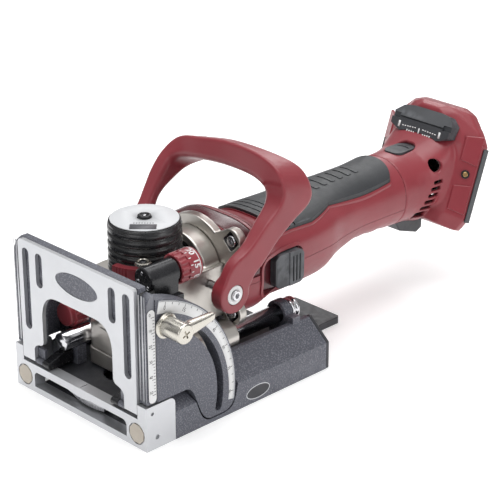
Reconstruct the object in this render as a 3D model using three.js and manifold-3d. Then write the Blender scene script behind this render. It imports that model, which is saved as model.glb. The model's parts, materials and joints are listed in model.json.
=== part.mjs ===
// Cordless biscuit joiner for profile grooves, built as an assembly of separate pieces.
//
// Frame: millimetres, +Z up, the cutter comes out towards -Y, +X is the side with the slide switch.
// The origin lies on the sole (the face that rests on the work), straight below the cutter's axis
// while the machine is at rest.

import * as THREE from 'three';
import { mergeVertices } from 'three/addons/utils/BufferGeometryUtils.js';
import Module from 'manifold-3d';

const wasm = await Module();
wasm.setup();

// ---------------------------------------------------------------- driving dimensions

const GAP = 0.3; // clearance kept between pieces that touch

// base
const BASE_HALF = 62; // half the width of the base
const FRONT = -56; // working face of the front frame
const FRAME_DEPTH = 8;
const FRAME_TOP = 19.5; // top of the frame between its corner blocks
const BLOCK_TOP = 29;
const BLOCK_INNER = 54.3;
const BLOCK_REAR = -33;
const SLOT_HALF = 44; // half the length of the cutter slot
const SLOT_LOW = 4.1;
const SLOT_HIGH = 14.6;
const HOUSING_REAR = 97.6;
const HOUSING_SIDE_TOP = 18.6;
const HOUSING_TOP = 31.9;
const HOUSING_INNER = 46;
const SOLE_THICK = 3.9;
const TONGUE_HALF = 22;
const TONGUE_REAR = 154;

// cutter and stroke
const CUTTER_R = 50.2;
const CUTTER_Z = 9; // height of the groove's centre over the sole
const CUTTER_THICK = 7;
const CHAMBER_R = 50.8;
const STROKE = 20;

// guide rods
const ROD_X = 32;
const ROD_Z = 34.6;
const ROD_R = 6;

// fence
const PIVOT_Y = -53.5;
const PIVOT_Z = 22.5;
const PLATE_HALF = 54;
const PLATE_BOTTOM = 22.3;
const PLATE_TOP = 103;
const PLATE_BACK = -53.3;
const CARRIER_FRONT = -53;
const CARRIER_BACK = -51.3;
const CHEEK_INNER = 52;
const CHEEK_OUTER = 61.8;
const CHEEK_FRONT = -46.7;
const ARC_Y = -59; // centre of the cheek's rounded edge
const ARC_Z = 21.5;
const ARC_R = 75.8;
const PLAIN_ARC_R = 66; // radius of the left-hand cheek, which has no guide slot
const GUIDE_R = 57.5; // radius of the curved guide slot about the pivot
const GUIDE_HALF = 2.6;
const BOLT_ANGLE = 76.1; // degrees, direction of the clamp bolt from the pivot

// motor unit
const AXIS_Z = 73.4; // height of the motor's axis
const DOME_R = 23;
const DOME_LOW = 82;
const DOME_HIGH = 115;
const FLANGE_FRONT = 40;
const FLANGE_REAR = 46;
const HOUSING_SPLIT = 66; // height of the joint between the two motor housing shells
const NECK_JOINT = 214.7;

// battery foot: a plate tilted about X, described in its own u, v, w directions
const FOOT_Y = 273.5;
const FOOT_Z = 80;
const FOOT_TILT = 20;
const FOOT_HALF = 43;
const FOOT_FRONT_HALF = 31;
const FOOT_LOW = -41.5;
const FOOT_HIGH = 42.5;
const FOOT_RIM = 6.5; // depth of the straight rim at the battery's side
const FOOT_THICK = 17.5;

const RAD = Math.PI / 180;

// ---------------------------------------------------------------- solids

// Signed volume of an indexed geometry; negative when its faces point inwards.
function signedVolume(geometry) {
  const p = geometry.attributes.position;
  const index = geometry.index.array;
  const a = new THREE.Vector3();
  const b = new THREE.Vector3();
  const c = new THREE.Vector3();
  let volume = 0;
  for (let i = 0; i < index.length; i += 3) {
    a.fromBufferAttribute(p, index[i]);
    b.fromBufferAttribute(p, index[i + 1]);
    c.fromBufferAttribute(p, index[i + 2]);
    volume += a.dot(b.cross(c)) / 6;
  }
  return volume;
}

// Turns a closed three.js geometry into a solid that can be cut and joined.
function solid(geometry) {
  const bare = geometry.clone();
  for (const name of ['normal', 'uv', 'uv1', 'color']) bare.deleteAttribute(name);
  const merged = mergeVertices(bare, 1e-3);
  const index = Array.from(merged.index.array);
  const kept = [];
  for (let i = 0; i < index.length; i += 3) {
    const [a, b, c] = index.slice(i, i + 3);
    if (a !== b && b !== c && a !== c) kept.push(a, b, c);
  }
  merged.setIndex(kept);
  if (signedVolume(merged) < 0) {
    for (let i = 0; i < kept.length; i += 3) [kept[i], kept[i + 1]] = [kept[i + 1], kept[i]];
  }
  const mesh = new wasm.Mesh({
    numProp: 3,
    vertProperties: Float32Array.from(merged.attributes.position.array),
    triVerts: Uint32Array.from(kept),
  });
  return new wasm.Manifold(mesh);
}

function union(...parts) {
  return parts.reduce((sum, part) => sum.add(part));
}

function box(x, y, z) {
  const geometry = new THREE.BoxGeometry(x[1] - x[0], y[1] - y[0], z[1] - z[0]);
  geometry.translate((x[0] + x[1]) / 2, (y[0] + y[1]) / 2, (z[0] + z[1]) / 2);
  return solid(geometry);
}

// Extrudes a flat outline along an axis. Outlines are drawn in (y, z), (x, z) or (x, y).
const PRISM_AXES = {
  x: new THREE.Matrix4().makeBasis(
    new THREE.Vector3(0, 1, 0), new THREE.Vector3(0, 0, 1), new THREE.Vector3(1, 0, 0)),
  y: new THREE.Matrix4().makeBasis(
    new THREE.Vector3(1, 0, 0), new THREE.Vector3(0, 0, 1), new THREE.Vector3(0, -1, 0)),
  z: new THREE.Matrix4(),
};

function prism(axis, shape, from, to, curveSegments = 8) {
  const geometry = new THREE.ExtrudeGeometry(shape, {
    depth: to - from, bevelEnabled: false, curveSegments,
  });
  geometry.translate(0, 0, axis === 'y' ? -to : from);
  geometry.applyMatrix4(PRISM_AXES[axis]);
  return solid(geometry);
}

function outline(points) {
  return new THREE.Shape(points.map(([u, v]) => new THREE.Vector2(u, v)));
}

// A rectangle with rounded corners, centred at (u, v).
function roundedRect(u, v, width, height, r) {
  const [a, b] = [width / 2, height / 2];
  const shape = new THREE.Shape();
  shape.moveTo(u - a + r, v - b);
  shape.lineTo(u + a - r, v - b);
  shape.absarc(u + a - r, v - b + r, r, -Math.PI / 2, 0, false);
  shape.lineTo(u + a, v + b - r);
  shape.absarc(u + a - r, v + b - r, r, 0, Math.PI / 2, false);
  shape.lineTo(u - a + r, v + b);
  shape.absarc(u - a + r, v + b - r, r, Math.PI / 2, Math.PI, false);
  shape.lineTo(u - a, v - b + r);
  shape.absarc(u - a + r, v - b + r, r, Math.PI, 1.5 * Math.PI, false);
  return shape;
}

// Turns a (radius, height) profile about an axis through the given point.
function turned(axis, centre, profile, segments = 32) {
  const points = profile.map(([r, h]) => new THREE.Vector2(r, h));
  const geometry = new THREE.LatheGeometry(points, segments);
  if (axis === 'z') geometry.rotateX(Math.PI / 2);
  if (axis === 'x') geometry.rotateZ(-Math.PI / 2);
  geometry.translate(...centre);
  return solid(geometry);
}

function rod(axis, centre, radius, from, to, segments = 24) {
  return turned(axis, centre, [[0, from], [radius, from], [radius, to], [0, to]], segments);
}

function tube(axis, centre, inner, outer, from, to, segments = 24) {
  const profile = [[inner, from], [outer, from], [outer, to], [inner, to], [inner, from]];
  return turned(axis, centre, profile, segments);
}

// Joins rings of points, one after the other, into one closed skin with flat ends.
function loft(rings) {
  const n = rings[0].length;
  const points = rings.flat();
  const index = [];
  for (let k = 0; k + 1 < rings.length; k += 1) {
    for (let i = 0; i < n; i += 1) {
      const j = (i + 1) % n;
      const [a, b] = [k * n + i, k * n + j];
      index.push(a, b, b + n, a, b + n, a + n);
    }
  }
  const last = (rings.length - 1) * n;
  for (let i = 1; i + 1 < n; i += 1) {
    index.push(0, i + 1, i);
    index.push(last, last + i, last + i + 1);
  }
  const geometry = new THREE.BufferGeometry().setFromPoints(points);
  geometry.setIndex(index);
  return solid(geometry);
}

// ---------------------------------------------------------------- scene graph

const joiner = new THREE.Group();

const COLOURS = {
  machined: ['#e9e9ee', 0.3, 0.6],
  casting: ['#55555d', 0.65, 0.3],
  charcoal: ['#303034', 0.6, 0.1],
  black: ['#1a1a1c', 0.5, 0.1],
  nickel: ['#b8b0a2', 0.35, 0.8],
  steel: ['#c9cbd0', 0.2, 1],
  red: ['#8f2f38', 0.4, 0],
  grey: ['#4a4d52', 0.6, 0],
  white: ['#ececea', 0.4, 0],
  sand: ['#cfc5b8', 0.8, 0],
  brass: ['#b98a3c', 0.3, 1],
  copper: ['#a65a34', 0.4, 0.8],
};

function place(name, part, colour) {
  const mesh = part.getMesh();
  const geometry = new THREE.BufferGeometry();
  geometry.setAttribute('position', new THREE.BufferAttribute(mesh.vertProperties, 3));
  geometry.setIndex(new THREE.BufferAttribute(mesh.triVerts, 1));
  geometry.computeVertexNormals();
  const [color, roughness, metalness] = COLOURS[colour];
  const piece = new THREE.Mesh(
    geometry, new THREE.MeshStandardMaterial({ color, roughness, metalness }));
  piece.name = name;
  joiner.add(piece);
}

// Left-hand copy of a right-hand piece.
function mirrored(part) {
  return part.mirror([1, 0, 0]);
}

function placePair(name, part, colour) {
  place(`${name}_right`, part, colour);
  place(`${name}_left`, mirrored(part), colour);
}

// ---------------------------------------------------------------- base

function frontFrame() {
  const face = outline([
    [-BASE_HALF, 0], [BASE_HALF, 0], [BASE_HALF, BLOCK_TOP], [BLOCK_INNER, BLOCK_TOP],
    [BLOCK_INNER, FRAME_TOP], [-BLOCK_INNER, FRAME_TOP], [-BLOCK_INNER, BLOCK_TOP],
    [-BASE_HALF, BLOCK_TOP],
  ]);
  const slot = new THREE.Shape();
  const r = 3.5;
  const bulge = 11; // half the width of the rounded lobe under the frame's top bar
  slot.moveTo(-SLOT_HALF, SLOT_LOW);
  slot.lineTo(SLOT_HALF, SLOT_LOW);
  slot.lineTo(SLOT_HALF, SLOT_HIGH - r);
  slot.absarc(SLOT_HALF - r, SLOT_HIGH - r, r, 0, Math.PI / 2, false);
  slot.lineTo(bulge, SLOT_HIGH);
  slot.quadraticCurveTo(0, SLOT_HIGH - 2.4, -bulge, SLOT_HIGH);
  slot.lineTo(-SLOT_HALF + r, SLOT_HIGH);
  slot.absarc(-SLOT_HALF + r, SLOT_HIGH - r, r, Math.PI / 2, Math.PI, false);
  const wrap = new THREE.Shape();
  const wrapRound = 4;
  wrap.moveTo(FRONT + 1, 0);
  wrap.lineTo(BLOCK_REAR, 0);
  wrap.lineTo(BLOCK_REAR, BLOCK_TOP - wrapRound);
  wrap.absarc(BLOCK_REAR - wrapRound, BLOCK_TOP - wrapRound, wrapRound, 0, Math.PI / 2, false);
  wrap.lineTo(FRONT + 1, BLOCK_TOP);
  const side = prism('x', wrap, BLOCK_INNER, BASE_HALF, 4);
  const plate = prism('y', face, FRONT, FRONT + FRAME_DEPTH)
    .subtract(prism('y', slot, FRONT - 1, FRONT + FRAME_DEPTH + 1, 6));
  const padSeat = rod('y', [0, 0, 0], 7.1, FRONT - 1, FRONT + 1.2, 16);
  let frame = union(plate, side, mirrored(side));
  for (const s of [-1, 1]) {
    frame = frame.subtract(padSeat.translate([s * 53.2, 0, 9.5]));
    for (const [y, z, hole] of [[-51, 24, 1.2], [-47.5, 7.5, 1.6]]) {
      const reach = s > 0 ? [BASE_HALF - 1.5, BASE_HALF + 1] : [-BASE_HALF - 1, -BASE_HALF + 1.5];
      frame = frame.subtract(rod('x', [0, y, z], hole, ...reach, 12));
    }
  }
  return frame;
}

const housingProfile = outline([
  [HOUSING_INNER, 0], [BASE_HALF, 0], [BASE_HALF, HOUSING_SIDE_TOP], [46.2, HOUSING_TOP],
  [43, HOUSING_TOP], [43, 25], [HOUSING_INNER, 22],
]);

function sideHousing() {
  const body = prism('y', housingProfile, BLOCK_REAR + GAP, HOUSING_REAR);
  const pocket = new THREE.Shape();
  pocket.moveTo(-25.4, 60);
  pocket.lineTo(-25.2, 31);
  pocket.quadraticCurveTo(-20, 30, -17.8, 23.5);
  pocket.lineTo(-13.2, 11);
  pocket.quadraticCurveTo(-10, 2.9, -4, 2.7);
  pocket.lineTo(7, 2.7);
  pocket.quadraticCurveTo(13.5, 3.2, 15.6, 7);
  pocket.quadraticCurveTo(19, 15, 20.5, 32);
  pocket.lineTo(20.5, 60);
  const frontPost = box([27, HOUSING_INNER + 0.5], [-34.5, -27.5], [17.8, 31])
    .subtract(rod('y', [ROD_X, 0, ROD_Z], ROD_R + GAP, -36, -26, 20));
  const rearPost = box([25.5, HOUSING_INNER + 1], [82, 88.5], [17.8, 36])
    .add(rod('y', [ROD_X, 0, ROD_Z], 8.6, 82, 88.5, 20))
    .subtract(rod('y', [ROD_X, 0, ROD_Z], ROD_R + GAP, 80, 90, 20));
  const sweep = roundedRect(0, -STROKE / 2, 2 * CHAMBER_R, 2 * CHAMBER_R + STROKE, CHAMBER_R);
  return union(body, frontPost, rearPost)
    .subtract(prism('x', pocket, CHEEK_INNER - 0.5, BASE_HALF + 1, 5))
    .subtract(prism('z', sweep, SLOT_LOW, SLOT_HIGH, 12));
}

// Sole: a plate under the cutter that runs on rearwards as a narrow tongue.
function solePlate() {
  const half = HOUSING_INNER - GAP;
  const front = FRONT + FRAME_DEPTH + GAP;
  const plate = box([-half, half], [front, HOUSING_REAR], [0, SOLE_THICK]);
  const tongue = outline([
    [-TONGUE_HALF, 60], [TONGUE_HALF, 60], [TONGUE_HALF, TONGUE_REAR - 2],
    [TONGUE_HALF - 2, TONGUE_REAR], [-TONGUE_HALF + 2, TONGUE_REAR], [-TONGUE_HALF, TONGUE_REAR - 2],
  ]);
  return union(plate, prism('z', tongue, 0, 5));
}

// Cover over the cutter, with the slot that the spindle travels in.
function topCover() {
  const half = HOUSING_INNER - GAP;
  const plate = box([-half, half], [FRONT + FRAME_DEPTH + GAP, HOUSING_REAR], [14.6, 17.4]);
  const slot = roundedRect(0, -10, 25, 45, 12);
  return plate.subtract(prism('z', slot, 10, 20, 6));
}

// Cast upright that carries the fence's clamp bolt and the depth stop.
function clampStrut() {
  const side = outline([
    [-30, 32.3], [-16, 32.3], [-18, 60], [-17, 78], [-15, 80], [-15, 87],
    [-33, 87], [-37, 84], [-44.5, 82], [-44.5, 74], [-36, 66], [-31, 45],
  ]);
  const bolt = boltCentre();
  const arm = prism('x', side, 47.3, 51.4);
  const boss = rod('x', [0, bolt.y, bolt.z], 5.5, 47.3, 51.4, 16);
  const slopedFoot = outline([[47.3, 31.4], [51.4, 28], [51.4, 36], [47.3, 36]]);
  const foot = prism('y', slopedFoot, -30, -16);
  const stud = rod('x', [0, bolt.y, bolt.z], 2.2, 51, 61.9, 12);
  return union(arm, boss, foot, stud);
}

function boltCentre() {
  return {
    y: PIVOT_Y + GUIDE_R * Math.cos(BOLT_ANGLE * RAD),
    z: PIVOT_Z + GUIDE_R * Math.sin(BOLT_ANGLE * RAD),
  };
}

// Ear on the front frame with the pin that the fence turns on.
function pivotBracket() {
  const ear = new THREE.Shape();
  ear.moveTo(-53.5, 20.1);
  ear.lineTo(-36, 20.1);
  ear.lineTo(-36, 28);
  ear.lineTo(-45, 28);
  ear.lineTo(-52.5, 25);
  ear.absarc(-53.5, 22.5, 2.4, 75 * RAD, 270 * RAD, false);
  return union(
    prism('x', ear, 29.5, 35.7, 5),
    rod('x', [0, PIVOT_Y, PIVOT_Z], 1.2, 35, 42, 12));
}

function placeBase() {
  place('front_frame', frontFrame(), 'machined');
  placePair('side_housing', sideHousing(), 'casting');
  const cap = prism('y', housingProfile, HOUSING_REAR + GAP, HOUSING_REAR + 2.8);
  placePair('end_cap', cap, 'charcoal');
  place('sole_plate', solePlate(), 'charcoal');
  place('top_cover', topCover(), 'charcoal');
  const pad = rod('y', [0, 0, 0], 6.7, FRONT - 0.3, FRONT + 0.9, 8);
  placePair('grip_pad', pad.rotate([0, 22.5, 0]).translate([53.2, 0, 9.5]), 'sand');
  placePair('guide_rod', rod('y', [ROD_X, 0, ROD_Z], ROD_R, -44, 89.5, 20), 'steel');
  const collar = turned('y', [ROD_X, 0, ROD_Z], [
    [0, 89.9], [7.6, 89.9], [7.6, 92.4], [6.6, 92.6], [6.6, 93.3], [7.6, 93.5], [7.2, 96.4], [0, 96.4],
  ], 20);
  placePair('rod_collar', collar, 'steel');
  place('clamp_strut', clampStrut(), 'black');
  placePair('pivot_bracket', pivotBracket(), 'black');
}

// ---------------------------------------------------------------- fence

// Round-topped portal outline that both the fence plate and its carrier leave open.
function portal(shape, grow, bottom) {
  const foot = 42.5 + grow;
  const leg = 33 + grow;
  shape.moveTo(foot, bottom);
  shape.lineTo(foot, 31);
  shape.quadraticCurveTo(foot - 1, 34.5, leg + 2.5, 35.5);
  shape.quadraticCurveTo(leg, 36.5, leg, 40);
  shape.lineTo(leg, 56);
  shape.quadraticCurveTo(leg - 1, 72 + grow, 18, 72.3 + grow);
  shape.lineTo(-18, 72.3 + grow);
  shape.quadraticCurveTo(-leg + 1, 72 + grow, -leg, 56);
  shape.lineTo(-leg, 40);
  shape.quadraticCurveTo(-leg, 36.5, -leg - 2.5, 35.5);
  shape.quadraticCurveTo(-foot + 1, 34.5, -foot, 31);
  shape.lineTo(-foot, bottom);
  return shape;
}

function fencePlate() {
  const panel = new THREE.Shape();
  panel.moveTo(-PLATE_HALF, PLATE_BOTTOM);
  panel.lineTo(-PLATE_HALF, PLATE_TOP - 3);
  panel.quadraticCurveTo(-PLATE_HALF, PLATE_TOP, -PLATE_HALF + 4, PLATE_TOP);
  panel.lineTo(PLATE_HALF - 1, PLATE_TOP);
  panel.lineTo(PLATE_HALF, PLATE_TOP - 1);
  panel.lineTo(PLATE_HALF, PLATE_BOTTOM);
  const opening = portal(new THREE.Shape(), 0, PLATE_BOTTOM - 1);
  let plate = prism('y', panel, FRONT, PLATE_BACK, 4)
    .subtract(prism('y', opening, FRONT - 1, PLATE_BACK + 1, 6));
  for (const s of [-1, 1]) {
    for (const [x, low, high] of [[46.8, 43.5, 98], [34, 75.3, 98]]) {
      const slot = roundedRect(s * x, (low + high) / 2, 6.4, high - low, 3.15);
      plate = plate.subtract(prism('y', slot, FRONT - 1, PLATE_BACK + 1, 4));
    }
  }
  const badge = new THREE.Shape();
  badge.absellipse(1.5, 87.7, 19.5, 7.2, 0, 2 * Math.PI, false, 0);
  return plate.subtract(prism('y', badge, FRONT - 1, FRONT + 0.8, 6));
}

// Frame behind the plate: side rails, a thin web, a top rib and two pivot knuckles.
function fenceCarrier() {
  const web = outline([[-54, 22.9], [-54, PLATE_TOP], [54, PLATE_TOP], [54, 22.9]]);
  const opening = portal(new THREE.Shape(), 1, 20);
  const sheet = prism('y', web, CARRIER_FRONT, CARRIER_BACK)
    .subtract(prism('y', opening, CARRIER_FRONT - 1, CARRIER_BACK + 1, 6));
  const rail = new THREE.Shape();
  rail.moveTo(-54, 30.2);
  rail.lineTo(-47, 30.2);
  rail.lineTo(-47, PLATE_TOP - 3.6);
  rail.quadraticCurveTo(-53.5, PLATE_TOP - 4, -54, PLATE_TOP - 14);
  const side = prism('x', rail, PLATE_HALF + 0.5, 61.2, 5);
  const tie = box([53.5, 55], [CARRIER_FRONT, CARRIER_BACK], [30.2, PLATE_TOP - 10]);
  const rib = box([-54.6, 54.6], [CARRIER_FRONT, -47.6], [100, PLATE_TOP]);
  const knuckle = new THREE.Shape();
  knuckle.moveTo(PIVOT_Y, PIVOT_Z + 2.2);
  knuckle.absarc(PIVOT_Y, PIVOT_Z, 2.2, Math.PI / 2, 2 * Math.PI, false);
  knuckle.lineTo(CARRIER_BACK, 31);
  knuckle.lineTo(CARRIER_FRONT, 31);
  knuckle.lineTo(CARRIER_FRONT, PIVOT_Z + 2.2);
  const pinHole = rod('x', [0, PIVOT_Y, PIVOT_Z], 1.55, 35, 43, 12);
  const hook = union(
    prism('x', knuckle, 36.1, 42.2, 5),
    box([36.1, 44.5], [CARRIER_FRONT, CARRIER_BACK], [26, 31])).subtract(pinHole);
  const groove = rod('y', [56.6, 0, 0], 0.9, 30, 101, 8).rotate([90, 0, 0]);
  const half = union(side, tie, hook).subtract(groove.translate([0, -54, 0]));
  return union(sheet, rib, half, mirrored(half));
}

// Quadrant cheek that swings down into the side housing's pocket.
function cheek(radius) {
  const shape = new THREE.Shape();
  const nose = ARC_Y + radius; // rearmost point of the arc
  const startAngle = Math.acos((CHEEK_FRONT - ARC_Y) / radius);
  shape.moveTo(CHEEK_FRONT, 30);
  shape.lineTo(-24.5, 30);
  shape.quadraticCurveTo(-19.5, 30, -16.8, 23.3);
  shape.lineTo(-12.3, 11.5);
  shape.quadraticCurveTo(-9, 3.6, -3.5, 3.4);
  shape.lineTo(Math.min(6.5, nose - 7), 3.4);
  shape.quadraticCurveTo(nose - 4.3, 3.6, nose - 1.2, 9);
  shape.absarc(ARC_Y, ARC_Z, radius, Math.asin((9.6 - ARC_Z) / radius), startAngle, false);
  return prism('x', shape, CHEEK_INNER, CHEEK_OUTER, 12);
}

// Curved guide slot that slides past the clamp bolt, about the fence's pivot.
function guideSlot() {
  const slot = new THREE.Shape();
  const low = (BOLT_ANGLE - 90) * RAD;
  const high = (BOLT_ANGLE + 1.5) * RAD;
  slot.absarc(PIVOT_Y, PIVOT_Z, GUIDE_R + GUIDE_HALF, low, high, false);
  slot.absarc(
    PIVOT_Y + GUIDE_R * Math.cos(high), PIVOT_Z + GUIDE_R * Math.sin(high),
    GUIDE_HALF, high, high + Math.PI, false);
  slot.absarc(PIVOT_Y, PIVOT_Z, GUIDE_R - GUIDE_HALF, high, low, true);
  slot.absarc(
    PIVOT_Y + GUIDE_R * Math.cos(low), PIVOT_Z + GUIDE_R * Math.sin(low),
    GUIDE_HALF, low + Math.PI, low + 2 * Math.PI, false);
  return prism('x', slot, CHEEK_INNER - 1, CHEEK_OUTER + 1, 9);
}

// Clamp lever: a turned boss on the bolt with a flat handle that points rearwards.
function clampLever() {
  const { y, z } = boltCentre();
  const boss = turned('x', [0, y, z], [
    [0, 62.4], [8, 62.4], [8, 63.6], [6.3, 64], [6.3, 79.3], [5.5, 80.3], [0, 80.3],
  ], 20);
  const arm = new THREE.Shape();
  arm.moveTo(0, -4.6);
  arm.lineTo(24, 0.2);
  arm.absarc(24, 2.6, 2.4, -Math.PI / 2, Math.PI / 2, false);
  arm.lineTo(0, 5.2);
  const blade = prism('x', arm, 72.5, 79.3, 5).translate([0, y, z]);
  return union(boss, blade);
}

function placeFence() {
  place('fence_plate', fencePlate(), 'machined');
  place('fence_carrier', fenceCarrier(), 'casting');
  place('fence_cheek_right', cheek(ARC_R).subtract(guideSlot()), 'casting');
  place('fence_cheek_left', mirrored(cheek(PLAIN_ARC_R)), 'casting');
  const scale = roundedRect(-50.3, 61, 5.6, 60, 2.7);
  place('height_scale', prism('x', scale, 61.5, 62.2, 4), 'white');
  place('clamp_lever', clampLever(), 'nickel');
}

// ---------------------------------------------------------------- depth stop

const STOP_X = 35.5;
const STOP_Z = 95.5;

function placeDepthStop() {
  const barrel = union(
    rod('y', [STOP_X, 0, STOP_Z], 7.8, -33, -10, 20),
    box([STOP_X - 5.8, STOP_X + 7.8], [-31, -12], [80, STOP_Z]),
    box([STOP_X + 7, 46.9], [-30, -23], [80, 84]));
  place('depth_stop_barrel', barrel.subtract(
    rod('y', [STOP_X, 0, STOP_Z], 3.3, -30, -9, 12)), 'black');
  const dial = turned('y', [STOP_X, 0, STOP_Z], [
    [0, -28], [2.9, -28], [2.9, -9.6], [8.4, -9.6], [9.6, -8.4], [9.8, 4.6], [8.4, 7.2], [0, 7.2],
  ], 24);
  place('depth_dial', dial, 'red');
}

// ---------------------------------------------------------------- drive head

// Light-metal gear case: a rounded tower over the spindle that runs back to the flange.
function gearCase() {
  const plan = new THREE.Shape();
  plan.moveTo(28, FLANGE_FRONT - GAP);
  plan.lineTo(-28, FLANGE_FRONT - GAP);
  plan.lineTo(-28, -12);
  plan.quadraticCurveTo(-27, -27, -12, -28);
  plan.lineTo(12, -28);
  plan.quadraticCurveTo(27, -27, 28, -12);
  const upper = prism('z', plan, 47, 81.6, 6);
  const neck = union(
    prism('z', roundedRect(0, 4, 38, 56, 14), 30.2, 48, 5),
    prism('z', roundedRect(0, -13, 51, 29, 6), 30.2, 48, 4));
  const barrel = rod('y', [0, 0, AXIS_Z], 25.6, 26.7, FLANGE_FRONT - GAP, 32);
  const roomAbove = box([-40, 40], [-40, 26.7], [81.6, 130]);
  const gearRoom = rod('z', [0, 0, 0], 23, 50, 79, 24);
  const shaftRoom = rod('y', [0, 0, AXIS_Z], 11, 18, 45, 20);
  const quillRoom = rod('z', [0, 0, 0], 12.2, 25, 55, 20);
  return union(upper, neck, barrel)
    .subtract(roomAbove)
    .subtract(gearRoom)
    .subtract(shaftRoom)
    .subtract(quillRoom);
}

// Flange ears around the motor's axis: x, height over the axis, radius.
const FLANGE_EARS = [[33.8, 24.5, 8.2], [33.8, -23.9, 8.3], [-33.8, -23.9, 8.3], [-30, 19, 8]];

// Round flange with four screw ears; the handle's bolts sit in the waists between them.
function gearFlange() {
  const disc = rod('y', [0, 0, AXIS_Z], 32.5, FLANGE_FRONT, FLANGE_REAR, 40);
  const root = rod('y', [0, 0, AXIS_Z], 14, FLANGE_FRONT, FLANGE_REAR, 16);
  let flange = disc.subtract(
    rod('y', [0, 0, AXIS_Z], 11.4, FLANGE_FRONT - 1, FLANGE_REAR + 1, 20));
  for (const [x, z, r] of FLANGE_EARS) {
    const ear = rod('y', [x, 0, AXIS_Z + z], r, FLANGE_FRONT, FLANGE_REAR, 16);
    flange = flange.add(wasm.Manifold.hull([ear, root]).subtract(disc));
  }
  for (const [x, z] of FLANGE_EARS) {
    flange = flange.subtract(
      rod('y', [x, 0, AXIS_Z + z], 5.2, FLANGE_FRONT - 1, FLANGE_FRONT + 3.5, 14));
  }
  return flange;
}

// Ribbed round housing of the vertical drive, open at the bottom.
function domeHousing() {
  const profile = [[16, DOME_LOW], [DOME_R - 1.7, DOME_LOW], [DOME_R - 0.4, DOME_LOW + 1.6]];
  const ribs = 6;
  const pitch = (DOME_HIGH - DOME_LOW - 3) / ribs;
  for (let k = 0; k < ribs; k += 1) {
    const z = DOME_LOW + 2 + k * pitch;
    profile.push([DOME_R, z + 0.5], [DOME_R, z + pitch - 1.6]);
    if (k < ribs - 1) profile.push([DOME_R - 1.3, z + pitch - 0.5]);
  }
  profile.push([DOME_R - 0.8, DOME_HIGH], [0, DOME_HIGH], [0, DOME_HIGH - 5], [16, DOME_HIGH - 5]);
  profile.push([16, DOME_LOW]);
  return turned('z', [0, 0, 0], profile, 28);
}

// Plate that carries the gear case and slides on the two guide rods.
function slideCarrier() {
  const plate = prism('z', roundedRect(0, 6.8, 53, 68.4, 5), 18.6, 29.9, 4);
  const boss = rod('y', [ROD_X, 0, ROD_Z], 10.4, 2, 39.6, 24);
  const arm = box([20, 30], [2, 39.6], [20, 33]);
  const bore = rod('y', [ROD_X, 0, ROD_Z], 8.2, 0, 42, 24);
  return union(plate, boss, mirrored(boss), arm, mirrored(arm))
    .subtract(bore)
    .subtract(mirrored(bore))
    .subtract(rod('z', [0, 0, 0], 12.2, 10, 40, 24));
}

function placeHead() {
  place('gear_case', gearCase(), 'nickel');
  place('gear_flange', gearFlange(), 'nickel');
  const headScrew = turned('y', [0, 0, AXIS_Z], [
    [0, FLANGE_FRONT + 2.2], [2.2, FLANGE_FRONT + 2.2], [2.2, FLANGE_FRONT - 0.2],
    [3.8, FLANGE_FRONT - 0.2], [3.8, FLANGE_FRONT + 3.2], [0, FLANGE_FRONT + 3.2],
  ], 12);
  const [rightEar, , , leftEar] = FLANGE_EARS;
  place('flange_screw_right', headScrew.translate([rightEar[0], 0, rightEar[1]]), 'steel');
  place('flange_screw_left', headScrew.translate([leftEar[0], 0, leftEar[1]]), 'steel');
  place('drive_dome', domeHousing(), 'black');
  const disc = turned('z', [0, 0, 0], [
    [0, DOME_HIGH + GAP], [21.6, DOME_HIGH + GAP], [21.6, DOME_HIGH + 0.9], [0, DOME_HIGH + 0.9],
  ], 28);
  place('dome_disc', disc, 'white');
  const hub = turned('z', [0, 0, 0], [
    [0, DOME_HIGH + 1.2], [4.3, DOME_HIGH + 1.2], [4.3, DOME_HIGH + 2], [3, DOME_HIGH + 2.8],
    [1.5, DOME_HIGH + 2.8], [1.5, DOME_HIGH + 1.8], [0, DOME_HIGH + 1.8],
  ], 16);
  place('hub_screw', hub, 'black');
  place('slide_carrier', slideCarrier(), 'nickel');
  placePair('rod_bush', tube('y', [ROD_X, 0, ROD_Z], ROD_R + GAP, 7.9, 3, 39, 20), 'brass');

  // mode selector: a curved lever in front of the dome with a knurled screw at its end
  const lever = new THREE.Shape();
  const [innerR, outerR] = [DOME_R + 1, DOME_R + 6];
  const [a0, a1] = [-85 * RAD, -42 * RAD];
  lever.absarc(0, 0, outerR, a0, a1, false);
  lever.absarc(0, 0, innerR, a1, a0, true);
  place('mode_lever', prism('z', lever, 86.5, 93.5, 10), 'red');
  const knob = turned('z', [20.7, -19.7, 0], [
    [0, 93.8], [1.9, 93.8], [1.9, 96.9], [5, 96.9], [5, 99], [4.4, 99.7], [0, 99.7],
  ], 16);
  place('mode_knob', knob, 'nickel');
}

// ---------------------------------------------------------------- motor housing

// Stations along the motor's axis: y, half width, reach up, reach down, roundness.
const GRIP_STATIONS = [
  [46.4, 38, 27.5, 33, 3.2],
  [61, 38.5, 28.4, 34, 3.2],
  [67.5, 37.6, 27, 34.3, 3.1],
  [74, 36, 22.2, 34.6, 2.8],
  [84, 34, 19.7, 35, 2.45],
  [100, 34, 19.6, 35.6, 2.35],
  [118, 33, 19.6, 35.4, 2.3],
  [136, 31, 20.3, 34.4, 2.3],
  [150, 27.5, 21.4, 28.8, 2.2],
  [172, 24.6, 22.4, 23.8, 2.1],
  [192, 24.4, 22.6, 24.1, 2.1],
  [NECK_JOINT, 25, 24.8, 24.9, 2.1],
];

const RING_STEPS = 24;

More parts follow.
